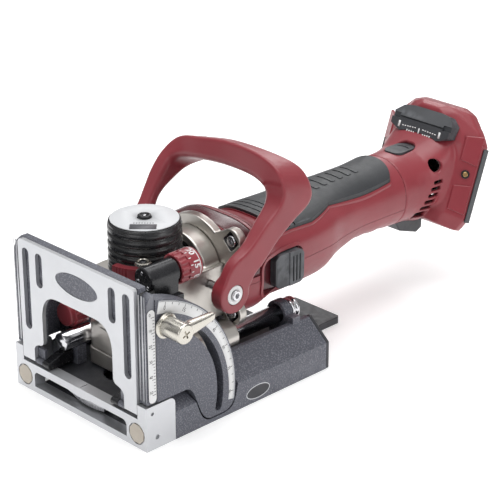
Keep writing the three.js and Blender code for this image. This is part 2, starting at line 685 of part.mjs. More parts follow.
function superellipse(y, halfWidth, up, down, power, inset, steps) {
  const ring = [];
  for (let i = 0; i < steps; i += 1) {
    const t = (2 * Math.PI * i) / steps;
    const [c, s] = [Math.cos(t), Math.sin(t)];
    const reach = (s > 0 ? up : down) - inset;
    ring.push(new THREE.Vector3(
      Math.sign(c) * Math.abs(c) ** (2 / power) * (halfWidth - inset),
      y,
      AXIS_Z + Math.sign(s) * Math.abs(s) ** (2 / power) * reach));
  }
  return ring;
}

function gripBody(inset, from = 0, to = GRIP_STATIONS.length, stretch = 0) {
  const rows = GRIP_STATIONS.slice(from, to);
  return loft(rows.map(([y, ...size], k) => {
    const end = k === 0 ? -stretch : (k === rows.length - 1 ? stretch : 0);
    return superellipse(y + end, ...size, inset, RING_STEPS);
  }));
}

const SWITCH_Y = [77, 101];
const SWITCH_Z = [54, 77];

function motorHousing() {
  const window = prism('x', roundedRect(83.5, 65.5, 39.5, 25, 6), 26, 50, 4);
  return gripBody(0).subtract(gripBody(3, 0, GRIP_STATIONS.length, 1)).subtract(window);
}

// Soft pad over the top of the grip.
function topPad() {
  const thick = 2.2;
  const skin = loft(GRIP_STATIONS.slice(4).map(([y, ...size]) => (
    superellipse(Math.min(y, 210), ...size, -thick - GAP, RING_STEPS))));
  const core = gripBody(-GAP - 0.2, 4, GRIP_STATIONS.length, 3);
  const plan = new THREE.Shape();
  plan.moveTo(-27.8, 87.5);
  plan.quadraticCurveTo(0, 85, 27.8, 87.5);
  plan.lineTo(27.6, 118);
  plan.quadraticCurveTo(25.5, 131, 21.7, 140);
  plan.lineTo(20, 203);
  plan.quadraticCurveTo(15, 209, 0, 209);
  plan.quadraticCurveTo(-15, 209, -20, 203);
  plan.lineTo(-21.7, 140);
  plan.quadraticCurveTo(-25.5, 131, -27.6, 118);
  return skin.subtract(core).intersect(prism('z', plan, AXIS_Z + 3, AXIS_Z + 60, 5));
}

function placeMotorHousing() {
  const shell = motorHousing();
  const wide = [-60, 60];
  const long = [40, 230];
  place('motor_housing_upper',
    shell.intersect(box(wide, long, [HOUSING_SPLIT + GAP / 2, 140])), 'red');
  place('motor_housing_lower',
    shell.intersect(box(wide, long, [0, HOUSING_SPLIT - GAP / 2])), 'red');
  place('top_pad', topPad(), 'grey');
  const slab = prism('x', roundedRect(
    (SWITCH_Y[0] + SWITCH_Y[1]) / 2, (SWITCH_Z[0] + SWITCH_Z[1]) / 2,
    SWITCH_Y[1] - SWITCH_Y[0], SWITCH_Z[1] - SWITCH_Z[0], 5), 31.5, 38, 4);
  let slide = slab;
  for (let k = 0; k < 3; k += 1) {
    slide = slide.subtract(box([37, 39], [90 + 3 * k, 91.3 + 3 * k], [57, 74]));
  }
  place('slide_switch', slide, 'grey');
}

// ---------------------------------------------------------------- bow handle

// Stations of the handle from the right foot over the top to the slimmer left foot: x, y, z,
// dip of its depth direction below the horizontal in degrees, thickness, depth.
const HANDLE_STATIONS = [
  [46.3, 27.2, 71.5, 5, 9.4, 24],
  [46.9, 35, 85.3, 25, 9.4, 23],
  [48.4, 44.5, 93.5, 42, 11, 18],
  [47.8, 56, 104, 50, 13, 17],
  [46.6, 69.5, 114, 48, 15.5, 19],
  [44.2, 79, 123, 28, 17.5, 30],
  [40.5, 77.5, 132, 15, 17, 25],
  [26, 73.5, 137.8, 10, 16.5, 14],
  [0, 72.4, 138.6, 12, 16, 11],
  [-22, 70.6, 136.4, 14, 14.5, 12],
  [-38, 75.7, 131, 20, 14, 24],
  [-47.5, 69.4, 123.4, 30, 11, 20],
  [-49.8, 59.1, 114.5, 42, 10.5, 14],
  [-49, 49.5, 105.5, 45, 9.5, 9.5],
  [-47.2, 42, 96, 40, 9.4, 10],
  [-46.3, 33.5, 85, 25, 9.4, 14],
  [-46.3, 27.2, 71.5, 5, 9.4, 18],
];
const HANDLE_BOLT = [27.5, 71.5]; // y, z

function bowHandle() {
  const centres = HANDLE_STATIONS.map(([x, y, z]) => new THREE.Vector3(x, y, z));
  const path = new THREE.CatmullRomCurve3(centres, false, 'centripetal');
  const steps = 32;
  const last = HANDLE_STATIONS.length - 1;
  const corners = [
    [-0.5, -0.3], [-0.38, -0.5], [0.38, -0.5], [0.5, -0.3],
    [0.5, 0.3], [0.38, 0.5], [-0.38, 0.5], [-0.5, 0.3],
  ];
  const rings = [];
  for (let k = 0; k <= steps; k += 1) {
    const t = (k / steps) * last;
    const i = Math.min(Math.floor(t), last - 1);
    const [dip, thick, depth] = [3, 4, 5].map((column) => (
      THREE.MathUtils.lerp(HANDLE_STATIONS[i][column], HANDLE_STATIONS[i + 1][column], t - i)));
    const centre = path.getPoint(k / steps);
    const depthDir = new THREE.Vector3(0, Math.cos(dip * RAD), -Math.sin(dip * RAD));
    const sideDir = new THREE.Vector3()
      .crossVectors(depthDir, path.getTangent(k / steps)).normalize();
    rings.push(corners.map(([a, b]) => centre.clone()
      .addScaledVector(depthDir, a * depth)
      .addScaledVector(sideDir, b * thick)));
  }
  const ear = rod('x', [0, ...HANDLE_BOLT], 12.2, 41.7, 50.9, 24);
  const slimEar = rod('x', [0, ...HANDLE_BOLT], 9, 42.6, 50, 24);
  const bore = rod('x', [0, ...HANDLE_BOLT], 3.2, -60, 60, 14);
  const seat = rod('x', [0, ...HANDLE_BOLT], 6.6, 49.7, 60, 20);
  return union(loft(rings), ear, mirrored(slimEar))
    .subtract(bore)
    .subtract(seat)
    .subtract(mirrored(seat));
}

function placeHandle() {
  place('bow_handle', bowHandle(), 'red');
  const bolt = turned('x', [0, ...HANDLE_BOLT], [
    [0, 28.4], [2.8, 28.4], [2.8, 51.2], [3.6, 51.2], [3.6, 52.6], [1.8, 52.6], [1.8, 51.4], [0, 51.4],
  ], 12);
  placePair('handle_bolt', bolt, 'steel');
  placePair('handle_washer', tube('x', [0, ...HANDLE_BOLT], 3.1, 6.2, 50, 50.9, 20), 'white');
}

// ---------------------------------------------------------------- tail and battery foot

// Places a solid drawn in the battery foot's own u, v, w directions (w is its outward normal).
function onFoot(part) {
  return part.mirror([0, 0, 1]).rotate([90 - FOOT_TILT, 0, 0]).translate([0, FOOT_Y, FOOT_Z]);
}

// Outline of the foot at depth w: a rounded gable, the same on both sides.
function footOutline(w, halfWidth, lowEdge, highEdge, grow) {
  const [half, low, high] = [halfWidth + grow, lowEdge - grow, highEdge + grow];
  const right = [
    [0.4, high], [0.6, high - 3], [0.86, high - 14], [1, high - 22], [1, low + 9], [0.88, low],
  ];
  const left = right.map(([u, v]) => [-u, v]).reverse();
  const [sinT, cosT] = [Math.sin(FOOT_TILT * RAD), Math.cos(FOOT_TILT * RAD)];
  return [...left, ...right].map(([u, v]) => new THREE.Vector3(
    u * half, FOOT_Y + w * cosT + v * sinT, FOOT_Z - w * sinT + v * cosT));
}

function footBlock(grow) {
  return loft([
    footOutline(-FOOT_THICK - 3 - grow, FOOT_FRONT_HALF - 12, FOOT_LOW + 4, FOOT_HIGH - 4, grow),
    footOutline(-FOOT_THICK + 2 - grow / 2, FOOT_FRONT_HALF, FOOT_LOW + 2, FOOT_HIGH - 1, grow),
    footOutline(-FOOT_RIM, FOOT_HALF, FOOT_LOW, FOOT_HIGH, grow),
    footOutline(0, FOOT_HALF, FOOT_LOW, FOOT_HIGH, grow),
  ]);
}

function footRing(w, half, low, high, steps) {
  const ring = [];
  const [sinT, cosT] = [Math.sin(FOOT_TILT * RAD), Math.cos(FOOT_TILT * RAD)];
  for (let i = 0; i < steps; i += 1) {
    const t = (2 * Math.PI * i) / steps;
    const [c, s] = [Math.cos(t), Math.sin(t)];
    const u = Math.sign(c) * Math.abs(c) ** (2 / 3.4) * half;
    const v = (low + high) / 2 + Math.sign(s) * Math.abs(s) ** (2 / 3.4) * ((high - low) / 2);
    ring.push(new THREE.Vector3(u, FOOT_Y + w * cosT + v * sinT, FOOT_Z - w * sinT + v * cosT));
  }
  return ring;
}

function tailLoft(inset) {
  const steps = RING_STEPS;
  return loft([
    superellipse(NECK_JOINT + (inset ? -1 : 0.4), 25.2, 25, 25, 2.1, inset, steps),
    superellipse(228, 25.8, 25.6, 25.6, 2.1, inset, steps),
    superellipse(240, 28, 26, 28, 2.3, inset, steps),
    footRing(-FOOT_THICK - 4, 29 - inset, -32 + inset, 22 - inset, steps),
    footRing(-FOOT_THICK + (inset ? 2 : 0.5), 30 - inset, -33 + inset, 24 - inset, steps),
  ]);
}

// Tail: neck, flare and the plate that the battery slides on to, as one hollow shell.
function tailHousing() {
  const plate = footBlock(0);
  const well = onFoot(prism('z', roundedRect(0, -2, 66, 58, 5), -FOOT_THICK + 5, 1, 3));
  const duct = onFoot(prism('z', roundedRect(0, -4, 40, 36, 5), -FOOT_THICK - 6, 1, 3));
  let tail = union(tailLoft(0), plate).subtract(tailLoft(3)).subtract(well).subtract(duct);
  tail = tail.subtract(rod('x', [0, 245, 90.5], 4.6, -60, 60, 16));
  for (let k = 0; k < 6; k += 1) {
    const [y, z] = [246 - k * 1.9, 79.5 - k * 4.4];
    tail = tail.subtract(box([-60, 60], [y - 5 - k * 0.5, y + 3.5], [z - 1.6, z + 1.4]));
  }
  const buttonHole = prism('z', roundedRect(0, 235.5, 16, 22, 6), 90, 110, 4);
  const hookHole = box([-9, 9], [223, 256], [38, 56]);
  const rail = onFoot(box([28, 34], [-29, 24], [-5.5, -1.5]));
  return tail.subtract(buttonHole).subtract(hookHole).add(rail).add(mirrored(rail));
}

function placeTail() {
  place('tail_housing', tailHousing(), 'red');
  const bumperShape = new THREE.Shape();
  bumperShape.moveTo(-26, 29);
  bumperShape.lineTo(-21, 34);
  bumperShape.quadraticCurveTo(0, 38.5, 21, 34);
  bumperShape.lineTo(26, 29);
  bumperShape.lineTo(26, 20);
  bumperShape.quadraticCurveTo(0, 6.5, -26, 20);
  const bumper = onFoot(prism('z', bumperShape, -FOOT_THICK - 9, -FOOT_THICK + 4, 4))
    .subtract(tailLoft(-GAP - 0.3))
    .subtract(footBlock(GAP + 0.3))
    .subtract(box([-9, 9], [215, 248], [80, 101]));
  place('bumper', bumper, 'grey');
  place('contact_block', onFoot(box([-17, 17], [-20, 12], [-12, -5])), 'black');
  const guard = onFoot(box([FOOT_HALF + GAP, FOOT_HALF + 1.3], [-34, 19], [-6, -0.8]));
  placePair('side_bumper', guard, 'grey');
  place('battery_button', prism('z', roundedRect(0, 235.5, 15, 21, 5.5), 90, 99.6, 4), 'grey');
  const hook = outline([[224, 48.8], [253, 49.6], [253, 37.5], [247.5, 34.8], [229, 41.2]]);
  place('belt_hook', prism('x', hook, -8.5, 8.5), 'grey');
}

// ---------------------------------------------------------------- drive train

const PINION_TEETH = 11;
const CROWN_TEETH = 33;

function placeDrive() {
  // cutter with three gullets and its clamping nut
  const low = CUTTER_Z - CUTTER_THICK / 2;
  const high = CUTTER_Z + CUTTER_THICK / 2;
  const blank = turned('z', [0, 0, 0], [
    [7.4, low + 1.6], [30, low + 1.6], [32, low], [CUTTER_R, low], [CUTTER_R, high],
    [32, high], [30, high - 1.2], [7.4, high - 1.2], [7.4, low + 1.6],
  ], 36);
  let cutter = blank;
  const gullets = 4;
  for (let k = 0; k < gullets; k += 1) {
    const a = (2 * Math.PI * k) / gullets + 0.4;
    cutter = cutter.subtract(
      rod('z', [CUTTER_R * Math.cos(a), CUTTER_R * Math.sin(a), 0], 6, low - 1, high + 1, 14));
  }
  place('cutter', cutter, 'steel');
  const spindle = turned('z', [0, 0, 0], [
    [0, 5.2], [13, 5.2], [13, 6.8], [7.1, 6.8], [7.1, 11.6], [11.8, 11.6], [11.8, 14.4], [6.4, 14.4],
    [6.4, 78], [0, 78],
  ], 20);
  place('spindle', spindle, 'steel');
  place('quill', tube('z', [0, 0, 0], 6.8, 11.8, 19, 52, 24), 'steel');

  // bevel gears as toothed blanks that stay clear of each other
  const crown = turned('z', [0, 0, 0], [
    [6.8, 56], [17, 56], [20, 58.6], [20, 62.4], [12, 66.4], [6.8, 66.4], [6.8, 56],
  ], CROWN_TEETH);
  place('crown_gear', crown, 'steel');
  const pinion = turned('y', [0, 0, AXIS_Z], [
    [0, 19.4], [5.6, 19.4], [7.6, 24.5], [7.6, 29], [0, 29],
  ], PINION_TEETH * 2);
  const shaft = turned('y', [0, 0, AXIS_Z], [
    [0, 19.4], [4.1, 19.4], [4.1, 76], [10.8, 76], [10.8, 124], [4.1, 124], [4.1, 144], [0, 144],
  ], 20);
  place('rotor', union(shaft, pinion), 'steel');
  place('shaft_bearing', tube('y', [0, 0, AXIS_Z], 4.5, 10.5, 38, 46, 20), 'steel');
  const blades = 8;
  let fan = tube('y', [0, 0, AXIS_Z], 4.4, 9, 58, 68, 16)
    .add(tube('y', [0, 0, AXIS_Z], 8.8, 22, 66.5, 68, 24));
  for (let k = 0; k < blades; k += 1) {
    const blade = box([8.5, 21], [58.5, 67], [-0.7, 0.7])
      .rotate([0, (360 * k) / blades, 0]);
    fan = fan.add(blade.translate([0, 0, AXIS_Z]));
  }
  place('cooling_fan', fan, 'black');
  place('stator', tube('y', [0, 0, AXIS_Z], 11.4, 15.9, 78, 122, 24), 'copper');
}

placeBase();
placeFence();
placeDepthStop();
placeHead();
placeMotorHousing();
placeHandle();
placeTail();
placeDrive();

export default joiner;
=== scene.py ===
"""Looks of the cordless biscuit joiner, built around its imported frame.

Lengths below are millimetres in the part's own frame (+Z up, the cutter comes out towards -Y) and
become metres when a mesh is made. Every CAD node gets a finer piece in its place, and small parts
that the CAD leaves out ride with the node they sit on.
"""

import json
import math

import bmesh
import bpy
from mathutils import Matrix, Vector

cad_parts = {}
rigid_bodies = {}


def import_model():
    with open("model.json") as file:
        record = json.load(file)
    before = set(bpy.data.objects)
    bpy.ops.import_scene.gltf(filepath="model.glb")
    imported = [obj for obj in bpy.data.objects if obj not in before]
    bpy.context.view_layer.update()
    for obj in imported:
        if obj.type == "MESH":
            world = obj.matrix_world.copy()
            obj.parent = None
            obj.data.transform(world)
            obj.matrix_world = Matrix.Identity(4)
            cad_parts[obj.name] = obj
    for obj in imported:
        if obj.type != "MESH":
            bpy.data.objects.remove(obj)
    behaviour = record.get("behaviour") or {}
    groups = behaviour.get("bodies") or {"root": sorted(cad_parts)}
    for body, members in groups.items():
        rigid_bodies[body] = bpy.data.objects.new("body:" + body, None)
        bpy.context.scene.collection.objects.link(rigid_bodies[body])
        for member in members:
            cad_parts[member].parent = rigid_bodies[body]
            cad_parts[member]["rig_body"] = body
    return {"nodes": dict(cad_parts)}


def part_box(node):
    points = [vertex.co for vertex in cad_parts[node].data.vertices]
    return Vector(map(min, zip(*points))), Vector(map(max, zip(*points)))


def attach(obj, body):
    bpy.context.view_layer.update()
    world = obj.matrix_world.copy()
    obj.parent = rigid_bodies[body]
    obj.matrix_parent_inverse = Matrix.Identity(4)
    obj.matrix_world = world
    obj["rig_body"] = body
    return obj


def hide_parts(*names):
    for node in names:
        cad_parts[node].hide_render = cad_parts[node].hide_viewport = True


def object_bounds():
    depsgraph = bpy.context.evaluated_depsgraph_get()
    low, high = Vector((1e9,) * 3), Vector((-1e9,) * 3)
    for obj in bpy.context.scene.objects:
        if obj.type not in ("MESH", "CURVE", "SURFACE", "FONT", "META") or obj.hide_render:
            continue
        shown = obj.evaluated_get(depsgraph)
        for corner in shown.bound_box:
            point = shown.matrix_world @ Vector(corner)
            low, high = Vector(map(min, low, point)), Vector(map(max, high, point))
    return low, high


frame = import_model()
cad_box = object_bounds()

MM = 0.001
TAU = 2 * math.pi
NODES = frame["nodes"]
SIDES = (("right", 1), ("left", -1))  # name, sign of x
RING_STEPS = 96  # points round the grip and the tail


# ------------------------------------------------------------------ frame measures, in mm

def span(node):
    """Lowest and highest corner of a CAD node in mm."""
    low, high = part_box(node)
    return low / MM, high / MM


def body_of(node):
    return NODES[node]["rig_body"]


# ------------------------------------------------------------------ materials

def new_material(name):
    material = bpy.data.materials.new(name)
    material.use_nodes = True
    tree = material.node_tree
    return material, tree, tree.nodes["Principled BSDF"]


def link(tree, a, b):
    """Joins an output socket to an input socket."""
    tree.links.new(a, b)


def noise_node(tree, scale, detail=3.0, stretch=(1, 1, 1), rough=0.55):
    """Noise in the object's own coordinates; scale is in waves per metre."""
    coords = tree.nodes.new("ShaderNodeTexCoord")
    mapping = tree.nodes.new("ShaderNodeMapping")
    mapping.inputs["Scale"].default_value = stretch
    noise = tree.nodes.new("ShaderNodeTexNoise")
    noise.inputs["Scale"].default_value = scale
    noise.inputs["Detail"].default_value = detail
    noise.inputs["Roughness"].default_value = rough
    link(tree, coords.outputs["Object"], mapping.inputs["Vector"])
    link(tree, mapping.outputs["Vector"], noise.inputs["Vector"])
    return noise.outputs["Fac"]


def remap(tree, value, low, high, start=0.35, end=0.65):
    node = tree.nodes.new("ShaderNodeMapRange")
    node.inputs["From Min"].default_value = start
    node.inputs["From Max"].default_value = end
    node.inputs["To Min"].default_value = low
    node.inputs["To Max"].default_value = high
    link(tree, value, node.inputs["Value"])
    return node.outputs["Result"]


def mix_colour(tree, factor, a, b):
    node = tree.nodes.new("ShaderNodeMix")
    node.data_type = "RGBA"
    link(tree, factor, node.inputs["Factor"])
    for socket, value in ((node.inputs[6], a), (node.inputs[7], b)):
        if isinstance(value, tuple):
            socket.default_value = (*value, 1)
        else:
            link(tree, value, socket)
    return node.outputs[2]


def add_bumps(tree, shader, layers):
    """Stacks bump layers: (height socket, strength, depth in metres)."""
    normal = None
    for height, strength, depth in layers:
        bump = tree.nodes.new("ShaderNodeBump")
        bump.inputs["Strength"].default_value = strength
        bump.inputs["Distance"].default_value = depth
        link(tree, height, bump.inputs["Height"])
        if normal is not None:
            link(tree, normal, bump.inputs["Normal"])
        normal = bump.outputs["Normal"]
    link(tree, normal, shader.inputs["Normal"])


def edge_wear_and_highlight(tree):
    """1 on convex edges, broken up by noise: lighter edges that stand both for wear where hands and work rub
    and for a painted highlight along the edges.
    """
    geometry = tree.nodes.new("ShaderNodeNewGeometry")
    ridge = remap(tree, geometry.outputs["Pointiness"], 0, 1, 0.56, 0.68)
    patches = remap(tree, noise_node(tree, 140, 4), 0, 1, 0.42, 0.6)
    product = tree.nodes.new("ShaderNodeMath")
    product.operation = "MULTIPLY"
    link(tree, ridge, product.inputs[0])
    link(tree, patches, product.inputs[1])
    return product.outputs["Value"]


def surface(name, colour, shade, rough, metallic=0.0, grain=2200, grain_depth=0.00004, grain_strength=0.25,
            ripple=0, ripple_depth=0.0002, wear_and_highlight=None, fleck=None, coat=0.0, stretch=(1, 1, 1), sheen=0.0,
            specular=0.5):
    """One finish: two-tone colour drift, uneven roughness, a fine grain and, if asked, flecks, a slow
    ripple and lighter edges, partly wear and partly a painted highlight. Grain and ripple are in waves per
    metre, their depths in metres."""
    material, tree, shader = new_material(name)
    drift = remap(tree, noise_node(tree, 38, 4), 0, 1)
    tone = mix_colour(tree, drift, colour, shade)
    if fleck:
        tone = mix_colour(tree, remap(tree, noise_node(tree, 1100, 2), 0, 1, 0.5, 0.66), tone, fleck)
    # lighter convex edges: partly wear, partly a painted highlight along the edges
    if wear_and_highlight:
        tone = mix_colour(tree, edge_wear_and_highlight(tree), tone, wear_and_highlight)
    link(tree, tone, shader.inputs["Base Color"])
    smudge = noise_node(tree, 210, 5)
    link(tree, remap(tree, smudge, rough[0], rough[1]), shader.inputs["Roughness"])
    layers = [(noise_node(tree, grain, 2, stretch), grain_strength, grain_depth)]
    if ripple:
        layers.insert(0, (noise_node(tree, ripple, 2), 0.5, ripple_depth))
    add_bumps(tree, shader, layers)
    shader.inputs["Metallic"].default_value = metallic
    shader.inputs["Coat Weight"].default_value = coat
    shader.inputs["Coat Roughness"].default_value = 0.25
    shader.inputs["Sheen Weight"].default_value = sheen
    shader.inputs["Specular IOR Level"].default_value = specular
    return material


FINISHES = {
    "machined_aluminium": lambda: surface(
        "machined aluminium", (0.6, 0.608, 0.628), (0.575, 0.583, 0.603), (0.32, 0.38), metallic=0.75,
        grain=900, stretch=(0.08, 1, 3.0), grain_depth=0.00001, grain_strength=0.1),
    "dark_casting": lambda: surface(
        "dark casting", (0.095, 0.098, 0.12), (0.08, 0.083, 0.102), (0.34, 0.46), metallic=0.25,
        grain=1500, grain_depth=0.0001, grain_strength=0.5, ripple=460, ripple_depth=0.00016,
        wear_and_highlight=(0.2, 0.205, 0.23), fleck=(0.19, 0.195, 0.225)),
    "charcoal_plate": lambda: surface(
        "charcoal plate", (0.045, 0.046, 0.052), (0.03, 0.031, 0.036), (0.34, 0.5), metallic=0.2,
        grain=1700, wear_and_highlight=(0.16, 0.16, 0.17)),
    "black_metal": lambda: surface(
        "black metal", (0.02, 0.02, 0.023), (0.012, 0.012, 0.014), (0.2, 0.34), metallic=0.4,
        grain=1700, grain_strength=0.06, coat=0.2),
    "black_plastic": lambda: surface(
        "black plastic", (0.016, 0.016, 0.018), (0.011, 0.011, 0.012), (0.24, 0.3),
        grain=1900, grain_depth=0.00001, grain_strength=0.04, coat=0.15),
    "nickel_casting": lambda: surface(
        "nickel casting", (0.56, 0.535, 0.50), (0.51, 0.485, 0.45), (0.28, 0.36), metallic=0.9,
        grain=1300, grain_depth=0.00003, grain_strength=0.25, ripple=90, ripple_depth=0.0001),
    "polished_steel": lambda: surface(
        "polished steel", (0.66, 0.66, 0.68), (0.62, 0.62, 0.64), (0.1, 0.16), metallic=1,
        grain=1500, stretch=(1, 0.05, 1), grain_depth=0.00001, grain_strength=0.12),
    "ground_steel": lambda: surface(
        "ground steel", (0.62, 0.62, 0.64), (0.5, 0.5, 0.52), (0.22, 0.36), metallic=1,
        grain=1500, stretch=(1, 1, 0.1), grain_depth=0.00002),
    "nickel_lever": lambda: surface(
        "nickel lever", (0.60, 0.575, 0.52), (0.55, 0.525, 0.47), (0.2, 0.28), metallic=1,
        grain=900, grain_depth=0.00002, grain_strength=0.2, ripple=110, ripple_depth=0.00008),
    "red_plastic": lambda: surface(
        "red plastic", (0.25, 0.026, 0.037), (0.225, 0.022, 0.032), (0.3, 0.38),
        grain=2600, grain_depth=0.00005, grain_strength=0.35, sheen=0.12),
    "grey_plastic": lambda: surface(
        "grey plastic", (0.045, 0.048, 0.054), (0.034, 0.036, 0.041), (0.4, 0.54),
        grain=2400, grain_strength=0.35, wear_and_highlight=(0.09, 0.095, 0.105)),
    # the rubber's lighter edges are partly a painted highlight along the pad's bevels
    "grey_rubber": lambda: surface(
        "grey rubber", (0.023, 0.025, 0.029), (0.018, 0.02, 0.023), (0.44, 0.54),
        grain=1500, grain_depth=0.0001, grain_strength=0.5, sheen=0.05, wear_and_highlight=(0.08, 0.087, 0.097)),
    "white_print": lambda: surface(
        "white print", (0.74, 0.74, 0.74), (0.71, 0.71, 0.71), (0.3, 0.42), grain_strength=0.12),
    "sand_pad": lambda: surface(
        "sand pad", (0.55, 0.50, 0.43), (0.47, 0.42, 0.36), (0.75, 0.9),
        grain=1700, grain_depth=0.0002, grain_strength=0.8),
    "bearing_bronze": lambda: surface(
        "bearing bronze", (0.62, 0.42, 0.20), (0.50, 0.33, 0.15), (0.3, 0.42), metallic=1),
    "copper_pack": lambda: surface(
        "copper pack", (0.58, 0.29, 0.15), (0.45, 0.21, 0.10), (0.3, 0.45), metallic=0.9,
        grain=700, stretch=(1, 1, 0.1), grain_depth=0.0002),
}
made = {}  # finishes by slot


def finish_of(slot):
    if slot not in made:
        made[slot] = FINISHES[slot]()
    return made[slot]


def dark_red_gloss():
    return surface("dark red gloss", (0.075, 0.008, 0.013), (0.065, 0.007, 0.011), (0.22, 0.26), coat=0.3,
                   grain_strength=0.04)


def pale_label():
    return surface("pale label", (0.6, 0.61, 0.625), (0.57, 0.58, 0.595), (0.5, 0.6), grain_strength=0.1,
                   specular=0.25)


def print_ink():
    return surface("grey ink", (0.10, 0.10, 0.11), (0.08, 0.08, 0.09), (0.4, 0.5))


# ------------------------------------------------------------------ outlines in a plane

class Outline:
    """Points of a flat outline, drawn with lines, quadratic bends and arcs."""

    def __init__(self, u, v):
        self.points = [(u, v)]

    def line(self, *pairs):
        self.points += pairs
        return self

    def bend(self, cu, cv, u, v, steps=14):
        u0, v0 = self.points[-1]
        for k in range(1, steps + 1):
            t = k / steps
            a, b, c = (1 - t) ** 2, 2 * t * (1 - t), t * t
            self.points.append((a * u0 + b * cu + c * u, a * v0 + b * cv + c * v))
        return self

    def arc(self, cu, cv, r, start, end, steps=0):
        steps = steps or max(6, int(abs(end - start) * 14))
        for k in range(steps + 1):
            a = start + (end - start) * k / steps
            self.points.append((cu + r * math.cos(a), cv + r * math.sin(a)))
        return self


def rounded(u, v, width, height, r, steps=10):
    a, b = width / 2 - r, height / 2 - r
    shape = Outline(u + a, v - height / 2)
    for k, (su, sv) in enumerate([(1, -1), (1, 1), (-1, 1), (-1, -1)]):
        shape.arc(u + su * a, v + sv * b, r, (k - 1) * TAU / 4, k * TAU / 4, steps)
    return shape.points


def ellipse(u, v, ru, rv, steps=72, start=0.0):
    angles = [start + TAU * k / steps for k in range(steps)]
    return [(u + ru * math.cos(a), v + rv * math.sin(a)) for a in angles]


def circle(u, v, r, steps, start=0.0):
    """Evenly spaced points on a circle, for a polygon or for things set in a ring."""
    return ellipse(u, v, r, r, steps, start)


def squared(a, exponent):
    """Cosine and sine of an angle, pushed outwards so that a ring of them is a rounded square."""
    return [math.copysign(abs(value) ** exponent, value) for value in (math.cos(a), math.sin(a))]


def without_repeats(points):
    return [p for k, p in enumerate(points) if (Vector(p) - Vector(points[k - 1])).length > 1e-4]


# ------------------------------------------------------------------ solids

def solid(points, faces):
    """A mesh object from points in mm, with its faces turned outwards."""
    mesh = bpy.data.meshes.new("solid")
    mesh.from_pydata([Vector(p) * MM for p in points], [], faces)
    obj = bpy.data.objects.new("solid", mesh)
    bpy.context.scene.collection.objects.link(obj)
    bm = bmesh.new()
    bm.from_mesh(mesh)
    bmesh.ops.remove_doubles(bm, verts=bm.verts, dist=1e-7)
    bmesh.ops.recalc_face_normals(bm, faces=bm.faces)
    bm.to_mesh(mesh)
    bm.free()
    return obj


PLANES = {
    "x": lambda u, v, w: (w, u, v),
    "y": lambda u, v, w: (u, w, v),
    "z": lambda u, v, w: (u, v, w),
}


def prism(axis, points, low, high):
    """Extrudes an outline along an axis: (y, z), (x, z) or (x, y) outlines along x, y or z."""
    points = without_repeats(points)
    n = len(points)
    at = PLANES[axis]
    ring = [at(u, v, low) for u, v in points] + [at(u, v, high) for u, v in points]
    faces = [tuple(range(n)), tuple(range(2 * n - 1, n - 1, -1))]
    faces += [(k, (k + 1) % n, n + (k + 1) % n, n + k) for k in range(n)]
    return solid(ring, faces)


def box(x, y, z):
    return prism("z", [(x[0], y[0]), (x[1], y[0]), (x[1], y[1]), (x[0], y[1])], z[0], z[1])


def turned(axis, centre, profile, steps=72):
    """Turns a (radius, height) profile about an axis through a point. The profile starts and ends
    on the axis, or closes on itself."""
    points, rings = [], []
    closed = profile[0] == profile[-1] and profile[0][0] > 0
    rows = profile[:-1] if closed else profile
    for r, h in rows:
        if r == 0:
            rings.append([len(points)])
            points.append((0, 0, h))
        else:
            rings.append(list(range(len(points), len(points) + steps)))
            points += [(u, v, h) for u, v in circle(0, 0, r, steps)]
    faces = []
    pairs = list(zip(rings, rings[1:])) + ([(rings[-1], rings[0])] if closed else [])
    for a, b in pairs:
        for k in range(steps):
            m = (k + 1) % steps
            if len(a) == 1 and len(b) == 1:
                break
            if len(a) == 1:
                faces.append((a[0], b[m], b[k]))
            elif len(b) == 1:
                faces.append((a[k], a[m], b[0]))
            else:
                faces.append((a[k], a[m], b[m], b[k]))
    return solid([Vector(PLANES[axis](*p)) + Vector(centre) for p in points], faces)


def rod(axis, centre, radius, low, high, steps=48):
    return turned(axis, centre, [(0, low), (radius, low), (radius, high), (0, high)], steps)


def tube(axis, centre, inner, outer, low, high, steps=64):
    profile = [(inner, low), (outer, low), (outer, high), (inner, high), (inner, low)]
    return turned(axis, centre, profile, steps)


def loft(rings):
    """One closed skin through rings of points, with flat ends."""
    n = len(rings[0])
    points = [p for ring in rings for p in ring]
    faces = [tuple(range(n)), tuple(range(len(points) - 1, len(points) - n - 1, -1))]
    for k in range(len(rings) - 1):
        for i in range(n):
            j = (i + 1) % n
            faces.append((k * n + i, k * n + j, (k + 1) * n + j, (k + 1) * n + i))
    return solid(points, faces)


def bake(obj):
    """Makes the modifiers' result the object's own mesh."""
    depsgraph = bpy.context.evaluated_depsgraph_get()
    mesh = bpy.data.meshes.new_from_object(obj.evaluated_get(depsgraph))
    obj.modifiers.clear()
    obj.data = mesh
    return obj


def combine(target, operation, tools):
    for tool in tools:
        modifier = target.modifiers.new("combine", "BOOLEAN")
        modifier.operation = operation
        modifier.solver = "MANIFOLD"
        modifier.object = tool
        bake(target)
        bpy.data.objects.remove(tool)
    return target


def cut(target, *tools):
    return combine(target, "DIFFERENCE", tools)


def join(target, *tools):
    return combine(target, "UNION", tools)


def meet(target, *tools):
    return combine(target, "INTERSECT", tools)


def copy_of(obj):
    other = obj.copy()
    other.data = obj.data.copy()
    bpy.context.scene.collection.objects.link(other)
    return other


def flipped(obj):
    """Turns a right-hand solid into the left-hand one."""
    obj.data.transform(Matrix.Scale(-1, 4, (1, 0, 0)))
    obj.data.flip_normals()
    return obj


def melted(obj, voxel, rounds):
    """Soft fillets all over, as a casting has them: an even remesh, then smoothing."""
    remesh = obj.modifiers.new("even", "REMESH")
    remesh.mode = "VOXEL"
    remesh.voxel_size = voxel * MM
    smooth = obj.modifiers.new("soft", "SMOOTH")
    smooth.factor = 0.5
    smooth.iterations = rounds
    return bake(obj)


